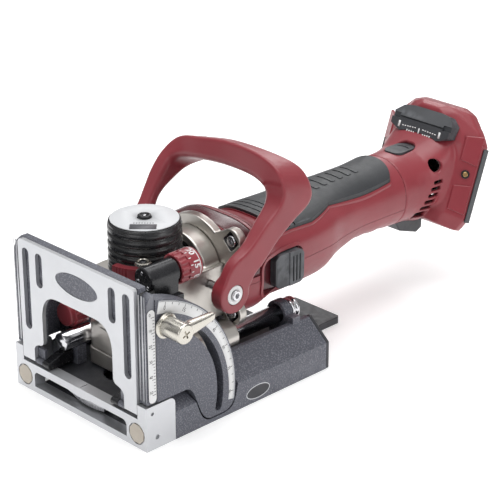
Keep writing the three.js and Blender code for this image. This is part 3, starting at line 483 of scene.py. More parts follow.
def clean(obj):
    """Merges what a cut leaves doubled or split within a flat face."""
    bm = bmesh.new()
    bm.from_mesh(obj.data)
    bmesh.ops.remove_doubles(bm, verts=bm.verts, dist=4e-6)
    bmesh.ops.dissolve_limit(bm, angle_limit=math.radians(0.3), verts=bm.verts, edges=bm.edges)
    bmesh.ops.recalc_face_normals(bm, faces=bm.faces)
    bm.to_mesh(obj.data)
    bm.free()


def dress(obj, name, body, slot, nodes=(), bevel=0.4, segments=2, angle=32, material=None, tidy_up=True):
    """Names a piece, rounds its edges, gives it its finish and hangs it on its body."""
    if tidy_up:
        clean(obj)
    obj.name = name
    obj.data.name = name
    obj.data.materials.clear()
    obj.data.materials.append(material or finish_of(slot))
    obj.data.polygons.foreach_set("use_smooth", [True] * len(obj.data.polygons))
    obj.data.polygons.foreach_set("material_index", [0] * len(obj.data.polygons))
    if bevel:
        rounding = obj.modifiers.new("edges", "BEVEL")
        rounding.width = bevel * MM
        rounding.segments = segments
        rounding.limit_method = "ANGLE"
        rounding.angle_limit = math.radians(angle)
        rounding.miter_outer = "MITER_ARC"
        rounding.use_clamp_overlap = True
        normals = obj.modifiers.new("normals", "WEIGHTED_NORMAL")
        normals.keep_sharp = True
        normals.weight = 60
    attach(obj, body)
    if nodes:
        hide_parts(*nodes)
    return obj


done = set()  # nodes that already have their finished piece


def stand_for(node, obj, slot, **looks):
    """A finer piece in place of one CAD node."""
    done.add(node)
    return dress(obj, "look_" + node, body_of(node), slot, (node,), **looks)


def refined(node, slot, **looks):
    """A CAD node whose shape is right, with its edges rounded."""
    obj = bpy.data.objects.new("copy", NODES[node].data.copy())
    obj.data.materials.clear()
    bpy.context.scene.collection.objects.link(obj)
    return stand_for(node, obj, slot, **looks)


def extra(name, host, obj, slot, **looks):
    """A small piece that the CAD leaves out, riding with its host node's body."""
    return dress(obj, name, body_of(host), slot, **looks)


# ------------------------------------------------------------------ lettering and prints

def glyphs(text, height, bold=0.0):
    """Flat number shapes from Blender's own font, centred, as a list of (points, faces) in mm."""
    curve = bpy.data.curves.new("figure", "FONT")
    curve.body = text
    curve.size = height * 1.4
    curve.align_x = "CENTER"
    curve.align_y = "CENTER"
    curve.resolution_u = 3
    curve.offset = bold
    obj = bpy.data.objects.new("figure", curve)
    bpy.context.scene.collection.objects.link(obj)
    depsgraph = bpy.context.evaluated_depsgraph_get()
    mesh = bpy.data.meshes.new_from_object(obj.evaluated_get(depsgraph))
    points = [v.co.copy() for v in mesh.vertices]
    faces = [tuple(p.vertices) for p in mesh.polygons]
    bpy.data.objects.remove(obj)
    return points, faces


def bar(u, v, width, height):
    """A flat rectangle, in the form that glyphs() gives."""
    a, b = width / 2, height / 2
    return [Vector((u - a, v - b, 0)), Vector((u + a, v - b, 0)),
            Vector((u + a, v + b, 0)), Vector((u - a, v + b, 0))], [(0, 1, 2, 3)]


def printed(marks, wrap, thick=0.06):
    """Raised ink: flat marks laid on a surface. wrap(u, v, lift) gives the place in mm."""
    points, faces = [], []
    for mark_points, mark_faces in marks:
        base = len(points)
        points += [(p[0], p[1]) for p in mark_points]
        faces += [tuple(base + i for i in face) for face in mark_faces]
    bm = bmesh.new()
    for u, v in points:
        bm.verts.new((u, v, 0))
    bm.verts.ensure_lookup_table()
    for face in faces:
        bm.faces.new([bm.verts[i] for i in face])
    bmesh.ops.remove_doubles(bm, verts=bm.verts, dist=1e-4)
    bmesh.ops.recalc_face_normals(bm, faces=bm.faces)
    for face in bm.faces:
        if face.normal.z < 0:
            face.normal_flip()
    extruded = bmesh.ops.extrude_face_region(bm, geom=list(bm.faces), use_keep_orig=True)
    for element in extruded["geom"]:
        if isinstance(element, bmesh.types.BMVert):
            element.co.z += thick
    for vertex in bm.verts:
        vertex.co = Vector(wrap(*vertex.co)) * MM
    bmesh.ops.recalc_face_normals(bm, faces=bm.faces)
    mesh = bpy.data.meshes.new("print")
    bm.to_mesh(mesh)
    bm.free()
    obj = bpy.data.objects.new("print", mesh)
    bpy.context.scene.collection.objects.link(obj)
    return obj


def ink(name, host, marks, wrap, slot="white_print", material=None, thick=0.06):
    return extra(name, host, printed(marks, wrap, thick), slot, bevel=0, material=material, tidy_up=False)


# ------------------------------------------------------------------ small fasteners

def socket_screw(name, host, axis, centre, radius, face, depth, slot="polished_steel"):
    """Screw head whose outer face is at `face`; depth is signed, positive where it looks along +axis."""
    head = turned(axis, centre, [
        (0, face - depth), (radius, face - depth), (radius, face - depth * 0.18),
        (radius * 0.86, face), (0, face)], 48)
    u, v = {"x": (centre[1], centre[2]), "y": (centre[0], centre[2]), "z": (centre[0], centre[1])}[axis]
    floor, mouth = face - depth * 0.7, face + math.copysign(1, depth)
    cut(head, prism(axis, circle(u, v, radius * 0.5, 6), *sorted((floor, mouth))))
    return extra(name, host, head, slot, bevel=0.12)


def cross_tool(axis, u, v, size, width, low, high):
    """Plus-shaped cutting tool for a cross recess, turned as a driven screw stops."""
    turn = 0.4
    points = []
    for k in range(4):
        a = k * TAU / 4 + turn
        along, side = (math.cos(a), math.sin(a)), (-math.sin(a), math.cos(a))
        for s, t in ((size, -width), (size, width), (width, width)):
            points.append((u + along[0] * s + side[0] * t, v + along[1] * s + side[1] * t))
    return prism(axis, points, low, high)


# ------------------------------------------------------------------ base

ROD_X, ROD_Z = 32, 34.6


def base():
    front = span("front_frame")[0].y
    refined("front_frame", "machined_aluminium", bevel=0.55, segments=3)
    for side, s in SIDES:
        refined("side_housing_" + side, "dark_casting", bevel=0.9, segments=3)
        refined("end_cap_" + side, "charcoal_plate", bevel=0.7, segments=3)
        refined("pivot_bracket_" + side, "black_metal", bevel=0.3)
        pad = prism("y", circle(53.2 * s, 9.5, 6.6, 8, TAU / 16), front - 0.28, front + 0.9)
        stand_for("grip_pad_" + side, pad, "sand_pad", bevel=0.25)
        low, high = span("guide_rod_" + side)
        stand_for("guide_rod_" + side, turned("y", (ROD_X * s, 0, ROD_Z), [
            (0, low.y), (5.2, low.y), (6, low.y + 0.8), (6, high.y), (0, high.y)], 64),
            "polished_steel", bevel=0)
        stand_for("rod_collar_" + side, turned("y", (ROD_X * s, 0, ROD_Z), [
            (0, 89.9), (7.2, 89.9), (7.6, 90.3), (7.6, 92.2), (6.6, 92.6), (6.6, 93.3), (7.6, 93.6),
            (7.6, 95.8), (7.1, 96.3), (3.1, 96.3), (3.1, 95.0), (0, 95.0)], 64),
            "polished_steel", bevel=0)
        for k, (x, z) in enumerate(((54, 9), (50, 23.5))):
            socket_screw(f"cap_screw_{side}_{k}", "end_cap_" + side, "y", (x * s, 0, z), 2.6, 101.2, 1.0)
        socket_screw(f"bracket_screw_{side}", "pivot_bracket_" + side, "z", (32.6 * s, -40.5, 0),
                     2.0, 29.3, 1.2)
    refined("clamp_strut", "black_metal", bevel=0.5)
    refined("sole_plate", "charcoal_plate", bevel=0.5)
    refined("top_cover", "charcoal_plate", bevel=0.4)
    side_ovals()
    inner_knob()
    # centre mark on the frame's top edge, for lining up with the work
    mark = [bar(0, 0, 0.5, 5.6)]
    ink("centre_mark", "front_frame", mark, lambda u, v, w: (u, front + 4 + v, 19.5 + w),
        slot="black_plastic")


def side_ovals():
    """A plain oval plate in a bright rim on each side housing."""
    y, z, half_long, half_high = 36.1, 6.9, 9.6, 4.1
    for side, s in SIDES:
        face = 61.4 * s
        plate = prism("x", ellipse(y, z, half_long, half_high), face, face + 0.75 * s)
        extra("side_oval_" + side, "side_housing_" + side, plate, "charcoal_plate", bevel=0.25)
        rim = prism("x", ellipse(y, z, half_long + 0.6, half_high + 0.6), face, face + 0.62 * s)
        cut(rim, prism("x", ellipse(y, z, half_long + 0.05, half_high + 0.05), 60 * s, 64 * s))
        extra("side_oval_rim_" + side, "side_housing_" + side, rim, "machined_aluminium", bevel=0.1)


def inner_knob():
    """Small turning knob inside the base, seen through the front opening, on its arm."""
    x, z = -41, 47
    knob = turned("y", (x, 0, z), [
        (0, -33), (7.0, -33), (7.6, -32.4), (7.6, -30), (9.0, -29.4), (9.0, -19.6), (8.4, -19), (0, -19)], 72)
    cut(knob, *[rod("y", (u, 0, v), 1.3, -31, -24, 20) for u, v in circle(x, z, 9.9, 16)])
    extra("inner_knob", "front_frame", knob, "red_plastic", bevel=0.2)
    arm = box((-50, x), (-30, -21), (31.2, 42))
    extra("inner_knob_arm", "front_frame", arm, "black_metal", bevel=0.5)


# ------------------------------------------------------------------ fence

PIVOT = (-53.5, 22.5)
ARC = (-59, 21.5)
ARC_R, PLAIN_ARC_R = 75.8, 66  # rims of the right cheek, with the guide slot, and of the left one
GUIDE_R, GUIDE_HALF = 57.5, 2.6
BOLT_ANGLE = math.radians(76.1)
BOLT = (PIVOT[0] + GUIDE_R * math.cos(BOLT_ANGLE), PIVOT[1] + GUIDE_R * math.sin(BOLT_ANGLE))


def portal(grow, bottom):
    """Round-topped opening in the fence plate and in the sheet behind it."""
    foot, leg, top = 42.5 + grow, 33 + grow, 72.3 + grow
    half = Outline(foot, bottom).line((foot, 31)).bend(foot - 1, 34.5, leg + 2.5, 35.5)
    half.bend(leg, 36.5, leg, 40).line((leg, 56)).bend(leg - 1, top - 0.3, 18, top)
    return half.points + [(-u, v) for u, v in reversed(half.points)]


def plate_slots(low, high):
    tools = []
    for s in (-1, 1):
        for x, z0, z1 in ((46.8, 43.5, 98), (34, 75.3, 98)):
            tools.append(prism("y", rounded(s * x, (z0 + z1) / 2, 6.4, z1 - z0, 3.15), low, high))
    return tools


def fence_plate():
    (x0, y0, z0), (x1, y1, z1) = span("fence_plate")
    panel = Outline(x0, z0).line((x0, z1 - 4)).bend(x0, z1, x0 + 4, z1)
    panel.line((x1 - 1.2, z1), (x1, z1 - 1.2), (x1, z0))
    plate = prism("y", panel.points, y0, y1)
    cut(plate, prism("y", portal(0, z0 - 1), y0 - 1, y1 + 1), *plate_slots(y0 - 1, y1 + 1))
    cut(plate, prism("y", ellipse(1.5, 87.7, 19.5, 7.2), y0 - 1, y0 + 0.8))
    stand_for("fence_plate", plate, "machined_aluminium", bevel=0.3)
    inlay = prism("y", ellipse(1.5, 87.7, 19.1, 6.8), y0 + 0.25, y0 + 0.78)
    extra("plate_inlay", "fence_plate", inlay, "dark_casting", bevel=0.2)


def fence_carrier():
    front, back, top = -53, -51.3, 103
    sheet = prism("y", [(-54, 22.9), (-54, top), (54, top), (54, 22.9)], front, back)
    cut(sheet, prism("y", portal(1, 20), front - 1, back + 1))
    rail = Outline(-54, 30.2).line((-47, 30.2), (-47, top - 3.6)).bend(-53.5, top - 4, -54, top - 14)
    side = prism("x", rail.points, 54.5, 61.2)
    tie = box((53.5, 55), (front, back), (30.2, top - 10))
    knuckle = Outline(PIVOT[0], PIVOT[1] + 2.2).arc(*PIVOT, 2.2, TAU / 4, TAU)
    knuckle.line((back, 31), (front, 31), (front, PIVOT[1] + 2.2))
    hook = join(prism("x", knuckle.points, 36.1, 42.2), box((36.1, 44.5), (front, back), (26, 31)))
    cut(hook, rod("x", (0, *PIVOT), 1.55, 35, 43))
    half = join(side, tie, hook)
    cut(half, rod("z", (56.6, -54, 0), 0.9, 29, 104), rod("z", (59.6, -54, 0), 0.4, 29, 104))
    other = flipped(copy_of(half))
    rib = box((-54.6, 54.6), (front, -47.6), (100, top))
    join(sheet, rib, half, other)
    stand_for("fence_carrier", sheet, "dark_casting", bevel=0.35)
    # bright milled faces on the front of both rails
    for side_name, s in SIDES:
        strips = [bar(55.5 * s, 66, 1.0, 68), bar(58.2 * s, 66, 1.3, 68), bar(60.5 * s, 66, 0.6, 68)]
        ink(f"rail_face_{side_name}", "fence_carrier", strips,
            lambda u, v, w: (u, -54.0 - w, v), slot="machined_aluminium", thick=0.05)


def cheek(radius):
    """Quadrant cheek that swings down into the side housing's pocket."""
    nose = ARC[0] + radius
    start, end = math.acos((-46.7 - ARC[0]) / radius), math.asin((9.6 - ARC[1]) / radius)
    shape = Outline(-46.7, 30).line((-24.5, 30)).bend(-19.5, 30, -16.8, 23.3, 8).line((-12.3, 11.5))
    shape.bend(-9, 3.6, -3.5, 3.4, 8).line((min(6.5, nose - 7), 3.4)).bend(nose - 4.3, 3.6, nose - 1.2, 9, 8)
    shape.arc(*ARC, radius, end, start, 60)
    return prism("x", shape.points, 52, 61.8)


def guide_slot():
    low, high = BOLT_ANGLE - math.radians(90), BOLT_ANGLE + math.radians(1.5)
    outer, inner = GUIDE_R + GUIDE_HALF, GUIDE_R - GUIDE_HALF
    slot = Outline(PIVOT[0] + outer * math.cos(low), PIVOT[1] + outer * math.sin(low))
    slot.arc(*PIVOT, outer, low, high, 48)
    for angle, turn in ((high, 0), (low, math.pi)):
        cap = (PIVOT[0] + GUIDE_R * math.cos(angle), PIVOT[1] + GUIDE_R * math.sin(angle))
        slot.arc(*cap, GUIDE_HALF, angle + turn, angle + turn + math.pi, 12)
        if turn == 0:
            slot.arc(*PIVOT, inner, high, low, 48)
    return prism("x", slot.points, 51, 63)


def band_faces(count):
    """Faces of a band whose points run in pairs, one inner and one outer."""
    return [(2 * k, 2 * k + 1, 2 * k + 3, 2 * k + 2) for k in range(count)]


def cheeks():
    right = cut(cheek(ARC_R), guide_slot())
    left = flipped(cheek(PLAIN_ARC_R))
    stand_for("fence_cheek_right", right, "dark_casting", bevel=0.8, segments=3)
    stand_for("fence_cheek_left", left, "dark_casting", bevel=0.8, segments=3)
    # protractor band along the rim: broad at the top, slimmer towards its lower end
    first, last, steps = math.radians(78.5), math.radians(-9), 60
    points = []
    for k in range(steps + 1):
        t = k / steps
        width = 7.4 - 3.6 * t
        points += [Vector((t, 1.5, 0)), Vector((t, 1.5 + width, 0))]

    def on_band(u, v, w):
        """u runs from 0 to 1 along the band, v is the distance in from the rim."""
        a, r = first + (last - first) * u, ARC_R - v
        return (61.8 + w, ARC[0] + r * math.cos(a), ARC[1] + r * math.sin(a))

    ink("protractor_band", "fence_cheek_right", [(points, band_faces(steps))], on_band, thick=0.12)
    rim = [Vector((k / steps, v, 0)) for k in range(steps + 1) for v in (0.85, 1.3)]
    ink("protractor_rim", "fence_cheek_right", [(rim, band_faces(steps))], on_band,
        slot="machined_aluminium", thick=0.15)
    marks = []
    for k in range(19):
        t = 0.05 + 0.9 * k / 18
        length = 2.2 if k % 3 == 0 else 1.3
        marks.append(bar(t, 1.9 + length / 2, 0.0028, length))
    for k, figure in enumerate(("0", "15", "30", "45", "60", "75", "90")):
        t = 0.05 + 0.9 * k / 6
        size = 2.6 - 1.0 * t
        glyph_points, glyph_faces = glyphs(figure, size)
        per_mm = 1 / (ARC_R * (first - last))
        marks.append(([Vector((t + p.x * per_mm, 4.2 + size / 2 - p.y, 0)) for p in glyph_points],
                      glyph_faces))
    ink("protractor_figures", "fence_cheek_right", marks,
        lambda u, v, w: on_band(u, v, w + 0.12), slot="black_plastic", thick=0.06)


def height_scale():
    refined("height_scale", "white_print", bevel=0.2)
    low, high = span("height_scale")
    marks = []
    for k in range(26):
        z = high.z - 4.7 - 2 * k
        long = k % 5 == 0
        marks.append(bar(high.y - 0.5 - (1.3 if long else 0.7), z, 2.6 if long else 1.4, 0.3))
        if long:
            points, faces = glyphs(str(10 * (k // 5)), 1.9)
            marks.append(([Vector((p.x + low.y + 1.7, p.y + z + 1.9, 0)) for p in points], faces))
    ink("height_marks", "height_scale", marks, lambda u, v, w: (high.x + w, u, v),
        slot="black_plastic", thick=0.06)


def clamp_lever():
    y, z = BOLT
    boss = turned("x", (0, y, z), [
        (0, 62.4), (7.6, 62.4), (8, 62.8), (8, 63.3), (7.5, 63.7), (6.6, 63.9), (6.3, 64.4), (6.3, 78.9),
        (5.9, 79.8), (5.3, 80.25), (0, 80.3)], 72)
    cut(boss, cross_tool("x", y, z, 2.8, 0.55, 79.0, 82))
    # distance along the arm, rise, half height, half width
    stations = [(0, 0.2, 4.9, 3.4), (7, 0.9, 4.2, 3.3), (14, 1.6, 3.3, 3.1), (20, 2.2, 2.7, 2.8),
                (24.2, 2.6, 2.3, 2.2), (25.8, 2.6, 1.3, 1.1), (26.3, 2.6, 0.5, 0.4)]
    rings = []
    for along, rise, half_high, half_wide in stations:
        section = [squared(TAU * k / 32, 0.55) for k in range(32)]
        rings.append([(75.9 + half_wide * c, y + along, z + rise + half_high * s) for c, s in section])
    join(boss, loft(rings))
    stand_for("clamp_lever", boss, "nickel_lever", bevel=0.35, segments=3, angle=40)


# ------------------------------------------------------------------ depth stop

STOP = (35.5, 95.5)


def depth_stop():
    x, z = STOP
    barrel = turned("y", (x, 0, z), [
        (0, -33), (7.2, -33), (7.8, -32.4), (7.8, -10.5), (7.3, -10), (0, -10)], 72)
    foot, tie = box((x - 5.8, x + 7.8), (-31, -12), (80, z)), box((x + 7, 46.9), (-30, -23), (80, 84))
    join(barrel, foot, tie)
    cut(barrel, rod("y", (x, 0, z), 3.3, -30, -9))
    stand_for("depth_stop_barrel", barrel, "black_metal", bevel=0.5, segments=3, angle=40)
    for k, (du, dv, r) in enumerate(((-4.2, -1.8, 1.7), (-0.6, 4.6, 1.2), (4.4, -3.4, 1.2))):
        socket_screw(f"stop_screw_{k}", "depth_stop_barrel", "y", (x + du, 0, z + dv), r, -33.5, -0.9)

    radius, flutes, steps = 9.8, 14, 96
    profile = [(0, -28), (2.9, -28), (2.9, -9.6), (5.2, -9.6), (5.4, -7.4), (7.8, -7.4), (8.0, -9.4),
               (8.8, -9.6), (9.6, -9.0), (radius, -8.2), (radius, 5.0), (9.5, 6.3), (8.4, 7.2), (0, 7.2)]
    dial = turned("y", (x, 0, z), profile, steps)
    cut(dial, *[rod("y", (u, 0, v), 2.2, -12, -3.4, 24) for u, v in circle(x, z, 11.2, flutes)])
    stand_for("depth_dial", dial, "red_plastic", bevel=0.2)

    def on_dial(u, v, w):
        a = u / radius
        r = radius + w
        return (x + r * math.cos(a), v, z + r * math.sin(a))

    marks = []
    figures = ("15", "8", "10", "12", "14", "0", "20")
    pitch = radius * TAU / len(figures)
    for k, figure in enumerate(figures):
        centre = 0.35 * radius - k * pitch
        points, faces = glyphs(figure, 4.1, 0.16)
        marks.append(([Vector((centre - p.x, 1.7 + p.y, 0)) for p in points], faces))
        marks.append(bar(centre, -1.9, 0.6, 1.7))
        marks.append(bar(centre + pitch / 2, -1.9, 0.6, 1.7))
    ring = [Vector((radius * TAU * k / steps, v, 0)) for k in range(steps + 1) for v in (4.2, 4.75)]
    marks.append((ring, band_faces(steps)))
    ink("dial_figures", "depth_dial", marks, on_dial, thick=0.05)


# ------------------------------------------------------------------ drive head

AXIS_Z = 73.4
CUTTER_AXIS, MOTOR_AXIS = (0, 0, 0), (0, 0, AXIS_Z)
DOME_R, DOME_LOW, DOME_HIGH = 23, 82, 115


def gear_case():
    rear = 39.7
    plan = Outline(28, rear).line((-28, rear), (-28, -12)).bend(-27, -27, -12, -28)
    plan.line((12, -28)).bend(27, -27, 28, -12)
    case = prism("z", plan.points, 47, 81.6)
    join(case, prism("z", rounded(0, 4, 38, 56, 14), 30.2, 48),
         prism("z", rounded(0, -13, 51, 29, 6), 30.2, 48),
         cut(rod("y", MOTOR_AXIS, 25.6, 26.7, rear, 96), box((-40, 40), (20, 45), (20, 60))))
    cut(case, box((-40, 40), (-40, 26.7), (81.6, 130)))
    # step round the head of the arch and the dark channel that its cover ring sits in
    cut(case, tube("y", MOTOR_AXIS, 16.2, 20.6, 26, 32.5, 96))
    melted(case, 0.62, 4)
    cut(case, rod("z", CUTTER_AXIS, 23, 50, 79, 64), rod("y", MOTOR_AXIS, 11, 18, 45),
        rod("z", CUTTER_AXIS, 12.2, 25, 55))
    stand_for("gear_case", case, "nickel_casting", bevel=0, tidy_up=False)
    cover = meet(tube("y", MOTOR_AXIS, 16.5, 20.3, 28.6, 32.2, 96), box((-40, 40), (20, 45), (82, 110)))
    extra("cover_ring", "gear_case", cover, "black_metal", bevel=0.4)
    spigot = turned("z", CUTTER_AXIS, [(15, 81.7), (22.2, 81.7), (22.2, 82.5), (15, 82.5), (15, 81.7)], 96)
    extra("dome_painted_pocket_shade", "gear_case", spigot, "black_metal", bevel=0.15)


# x, height over the motor's axis, radius
FLANGE_EARS = ((33.8, 24.5, 8.2), (33.8, -23.9, 8.3), (-33.8, -23.9, 8.3), (-30, 19, 8))


def diamond(x, z, half):
    """Square on its corner with rounded corners, in (x, z)."""
    corners = rounded(0, 0, 2 * half, 2 * half, 1.8, 6)
    return [((u + v) * 0.7071 + x, (v - u) * 0.7071 + z) for u, v in corners]


def flange():
    front, rear = 40, 46
    plate = rod("y", MOTOR_AXIS, 32.5, front, rear, 128)
    for x, z, r in FLANGE_EARS:
        side = Vector((-z, x)).normalized()
        web = [(side.x * 14, AXIS_Z + side.y * 14), (x + side.x * r, AXIS_Z + z + side.y * r),
               (x - side.x * r, AXIS_Z + z - side.y * r), (-side.x * 14, AXIS_Z - side.y * 14)]
        join(plate, prism("y", web, front, rear), rod("y", (x, 0, AXIS_Z + z), r, front, rear, 48))
    melted(plate, 0.6, 3)
    cut(plate, rod("y", MOTOR_AXIS, 11.4, front - 1, rear + 1),
        *[prism("y", diamond(x, AXIS_Z + z, 5.2), front - 1, front + 3.8) for x, z, _ in FLANGE_EARS])
    stand_for("gear_flange", plate, "nickel_casting", bevel=0, tidy_up=False)
    names = ("flange_screw_right", "flange_screw_low_right", "flange_screw_low_left", "flange_screw_left")
    for name, (x, z, _) in zip(names, FLANGE_EARS):
        # black lining on the walls and floor of each screw pocket: painted shade, darkening the recess where
        # shade falls
        shade = cut(prism("y", diamond(x, AXIS_Z + z, 5.15), front + 0.3, front + 3.75),
                    prism("y", diamond(x, AXIS_Z + z, 4.7), front - 1, front + 3.3))
        extra(name + "_painted_pocket_shade", "gear_flange", shade, "black_metal", bevel=0)
        if name in NODES:
            screw = socket_screw("look_" + name, name, "y", (x, 0, AXIS_Z + z), 3.8, front - 0.2, -3.2)
            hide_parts(name)
            done.add(name)
        else:
            socket_screw(name, "gear_flange", "y", (x, 0, AXIS_Z + z), 3.8, front - 0.2, -3.2)


def dome():
    ribs, steps = 6, 9
    low, high = DOME_LOW + 0.6, DOME_HIGH - 1.2
    pitch = (high - low) / ribs
    depth = 2.1
    profile = [(16, DOME_LOW), (DOME_R - depth - 0.4, DOME_LOW), (DOME_R - depth, low)]
    for k in range(ribs):
        for i in range(1, steps + 1):
            t = i / (steps + 1)
            bulge = (1 - abs(2 * t - 1) ** 2.6) ** 0.5
            profile.append((DOME_R - depth + depth * bulge, low + pitch * (k + t)))
        profile.append((DOME_R - depth, low + pitch * (k + 1)))
    profile[-1] = (DOME_R - 0.5, high - 0.1)
    profile += [(DOME_R - 0.5, high), (DOME_R - 0.9, DOME_HIGH), (DOME_R - 1.3, DOME_HIGH),
                (DOME_R - 1.4, DOME_HIGH - 0.4), (0, DOME_HIGH - 0.4), (0, DOME_HIGH - 5),
                (16, DOME_HIGH - 5), (16, DOME_LOW)]
    obj = turned("z", CUTTER_AXIS, profile, 128)
    stand_for("drive_dome", obj, "black_plastic", bevel=0, tidy_up=False)
    disc = turned("z", CUTTER_AXIS, [
        (4.6, 115.3), (21.3, 115.3), (21.3, 115.75), (21.1, 115.9), (4.6, 115.9), (4.6, 115.3)], 128)
    stand_for("dome_disc", disc, "white_print", bevel=0, material=pale_label())
    hub = turned("z", CUTTER_AXIS, [
        (0, 116.2), (4.3, 116.2), (4.3, 117.2), (3.7, 117.7), (2.9, 117.8), (2.7, 117.2), (2.5, 116.9),
        (0, 116.9)], 64)
    cut(hub, prism("z", circle(0, 0, 1.3, 6), 116.6, 118))
    stand_for("hub_screw", hub, "black_metal", bevel=0)
    pin = turned("z", CUTTER_AXIS, [(0, 116.7), (1.1, 116.7), (1.1, 117.3), (0.8, 117.5), (0, 117.5)], 32)
    extra("hub_pin", "hub_screw", pin, "polished_steel", bevel=0)
    # plain printed block and a row of dashes near the disc's front edge
    marks = [bar(0, 0, 16.4, 7.8)] + [bar(-5.8 + 1.65 * k, 5.8, 0.9, 1.1) for k in range(8)]
    turn = math.radians(45.6)

    def on_disc(x, v, w):
        y = v - 15.3
        c, s = math.cos(turn), math.sin(turn)
        return (x * c - y * s, x * s + y * c, 115.9 + w)

    ink("disc_block", "dome_disc", marks, on_disc, slot="grey_plastic", material=print_ink(), thick=0.05)


def slide_carrier():
    plate = prism("z", rounded(0, 6.8, 53, 68.4, 5), 18.6, 29.9)
    for s in (-1, 1):
        boss = rod("y", (ROD_X * s, 0, ROD_Z), 10.4, 2, 39.6, 64)
        join(plate, boss, box(sorted((20 * s, 30 * s)), (2, 39.6), (20, 33)))
    melted(plate, 0.7, 4)
    cut(plate, rod("y", (ROD_X, 0, ROD_Z), 8.2, 0, 42), rod("y", (-ROD_X, 0, ROD_Z), 8.2, 0, 42),
        rod("z", CUTTER_AXIS, 12.2, 10, 40))
    stand_for("slide_carrier", plate, "nickel_casting", bevel=0, tidy_up=False)


def mode_selector():
    a0, a1 = math.radians(-85), math.radians(-42)
    inner, outer = DOME_R + 1, DOME_R + 6
    arc = Outline(outer * math.cos(a0), outer * math.sin(a0)).arc(0, 0, outer, a0, a1, 40)
    arc.arc(0, 0, inner, a1, a0, 40)
    lever = prism("z", arc.points, 86.5, 93.5)
    reach = outer + 0.35
    for k in range(5):
        a = a0 + math.radians(4 + 4.2 * k)
        cut(lever, rod("z", (reach * math.cos(a), reach * math.sin(a), 0), 0.7, 85, 95, 16))
    stand_for("mode_lever", lever, "red_plastic", bevel=0.7, segments=3)
    x, y = 20.7, -19.7
    knob = turned("z", (x, y, 0), [
        (0, 93.8), (1.9, 93.8), (1.9, 96.9), (4.6, 96.9), (5, 97.3), (5, 98.7), (4.5, 99.4), (3.4, 99.5),
        (3.1, 98.5), (0, 98.5)], 64)
    cut(knob, *[rod("z", (u, v, 0), 0.5, 96, 100, 12) for u, v in circle(x, y, 5.3, 18)])
    stand_for("mode_knob", knob, "nickel_lever", bevel=0.1)
    extra("knob_screw", "mode_knob", turned("z", (x, y, 0), [
        (0, 98.6), (2.4, 98.6), (2.4, 99.2), (1.9, 99.6), (0, 99.7)], 40), "black_metal", bevel=0)


# ------------------------------------------------------------------ motor housing

# y, half width, reach up, reach down, roundness
GRIP_STATIONS = [
    (46.4, 38, 27.5, 33, 3.2), (61, 38.5, 28.4, 34, 3.2), (67.5, 37.6, 27, 34.3, 3.1),
    (74, 36, 22.2, 34.6, 2.8), (84, 34, 19.7, 35, 2.45), (100, 34, 19.6, 35.6, 2.35),
    (118, 33, 19.6, 35.4, 2.3), (136, 31, 20.3, 34.4, 2.3), (150, 27.5, 21.4, 28.8, 2.2),
    (172, 24.6, 22.4, 23.8, 2.1), (192, 24.4, 22.6, 24.1, 2.1),
    (214.7, 25, 24.8, 24.9, 2.1),
]
SPLIT = 66  # height of the seam between the housing halves


def smooth_value(y, column):
    """Value of a grip station's column at y, on a smooth curve through the stations."""
    rows = GRIP_STATIONS
    ys = [row[0] for row in rows]
    y = min(max(y, ys[0]), ys[-1])
    k = min(max(i for i, value in enumerate(ys) if value <= y), len(rows) - 2)
    t = (y - ys[k]) / (ys[k + 1] - ys[k])

    def slope(i):
        a, b = max(i - 1, 0), min(i + 1, len(rows) - 1)
        return (rows[b][column] - rows[a][column]) / (ys[b] - ys[a])

    h = ys[k + 1] - ys[k]
    p0, p1, m0, m1 = rows[k][column], rows[k + 1][column], slope(k) * h, slope(k + 1) * h
    return ((2 * t ** 3 - 3 * t ** 2 + 1) * p0 + (t ** 3 - 2 * t ** 2 + t) * m0
            + (-2 * t ** 3 + 3 * t ** 2) * p1 + (t ** 3 - t ** 2) * m1)


def oval(y, half, up, down, power, inset):
    """Ring about the motor's axis, reaching further up or down as asked."""
    ring = []
    for k in range(RING_STEPS):
        a = TAU * k / RING_STEPS
        c, s = squared(a, 2 / power)
        reach = (up if math.sin(a) > 0 else down) - inset
        ring.append((c * (half - inset), y, AXIS_Z + s * reach))
    return ring


def grip(inset, start=46.4, end=214.7, pitch=3.0, stretch=0):
    """Solid of the grip, inset all round, with its end rings moved outwards by stretch."""
    count = max(2, round((end - start) / pitch))
    rings = []
    for k in range(count + 1):
        y = start + (end - start) * k / count
        sizes = [smooth_value(y, column) for column in (1, 2, 3, 4)]
        shift = -stretch if k == 0 else (stretch if k == count else 0)
        rings.append(oval(y + shift, *sizes, inset))
    return loft(rings)


def finger_grooves(lower):
    """Shallow finger waves along the underside of the grip."""
    first, last, pitch, reach, fade_over = 136, 208, 14, 20, 8
    for vertex in lower.data.vertices:
        x, y, z = vertex.co / MM
        if first < y < last and z < AXIS_Z - 12 and abs(x) < reach:
            fade = min(1, (y - first) / fade_over, (last - y) / fade_over)
            fade *= min(1, (reach - abs(x)) / fade_over)
            vertex.co.z += 0.5 * MM * fade * (1 - math.cos((y - first) * TAU / pitch))


def switch_window(grow, low, high):
    return prism("x", rounded(83.5, 65.5, 39.5 + grow, 25 + grow, 6 + grow / 2), low, high)


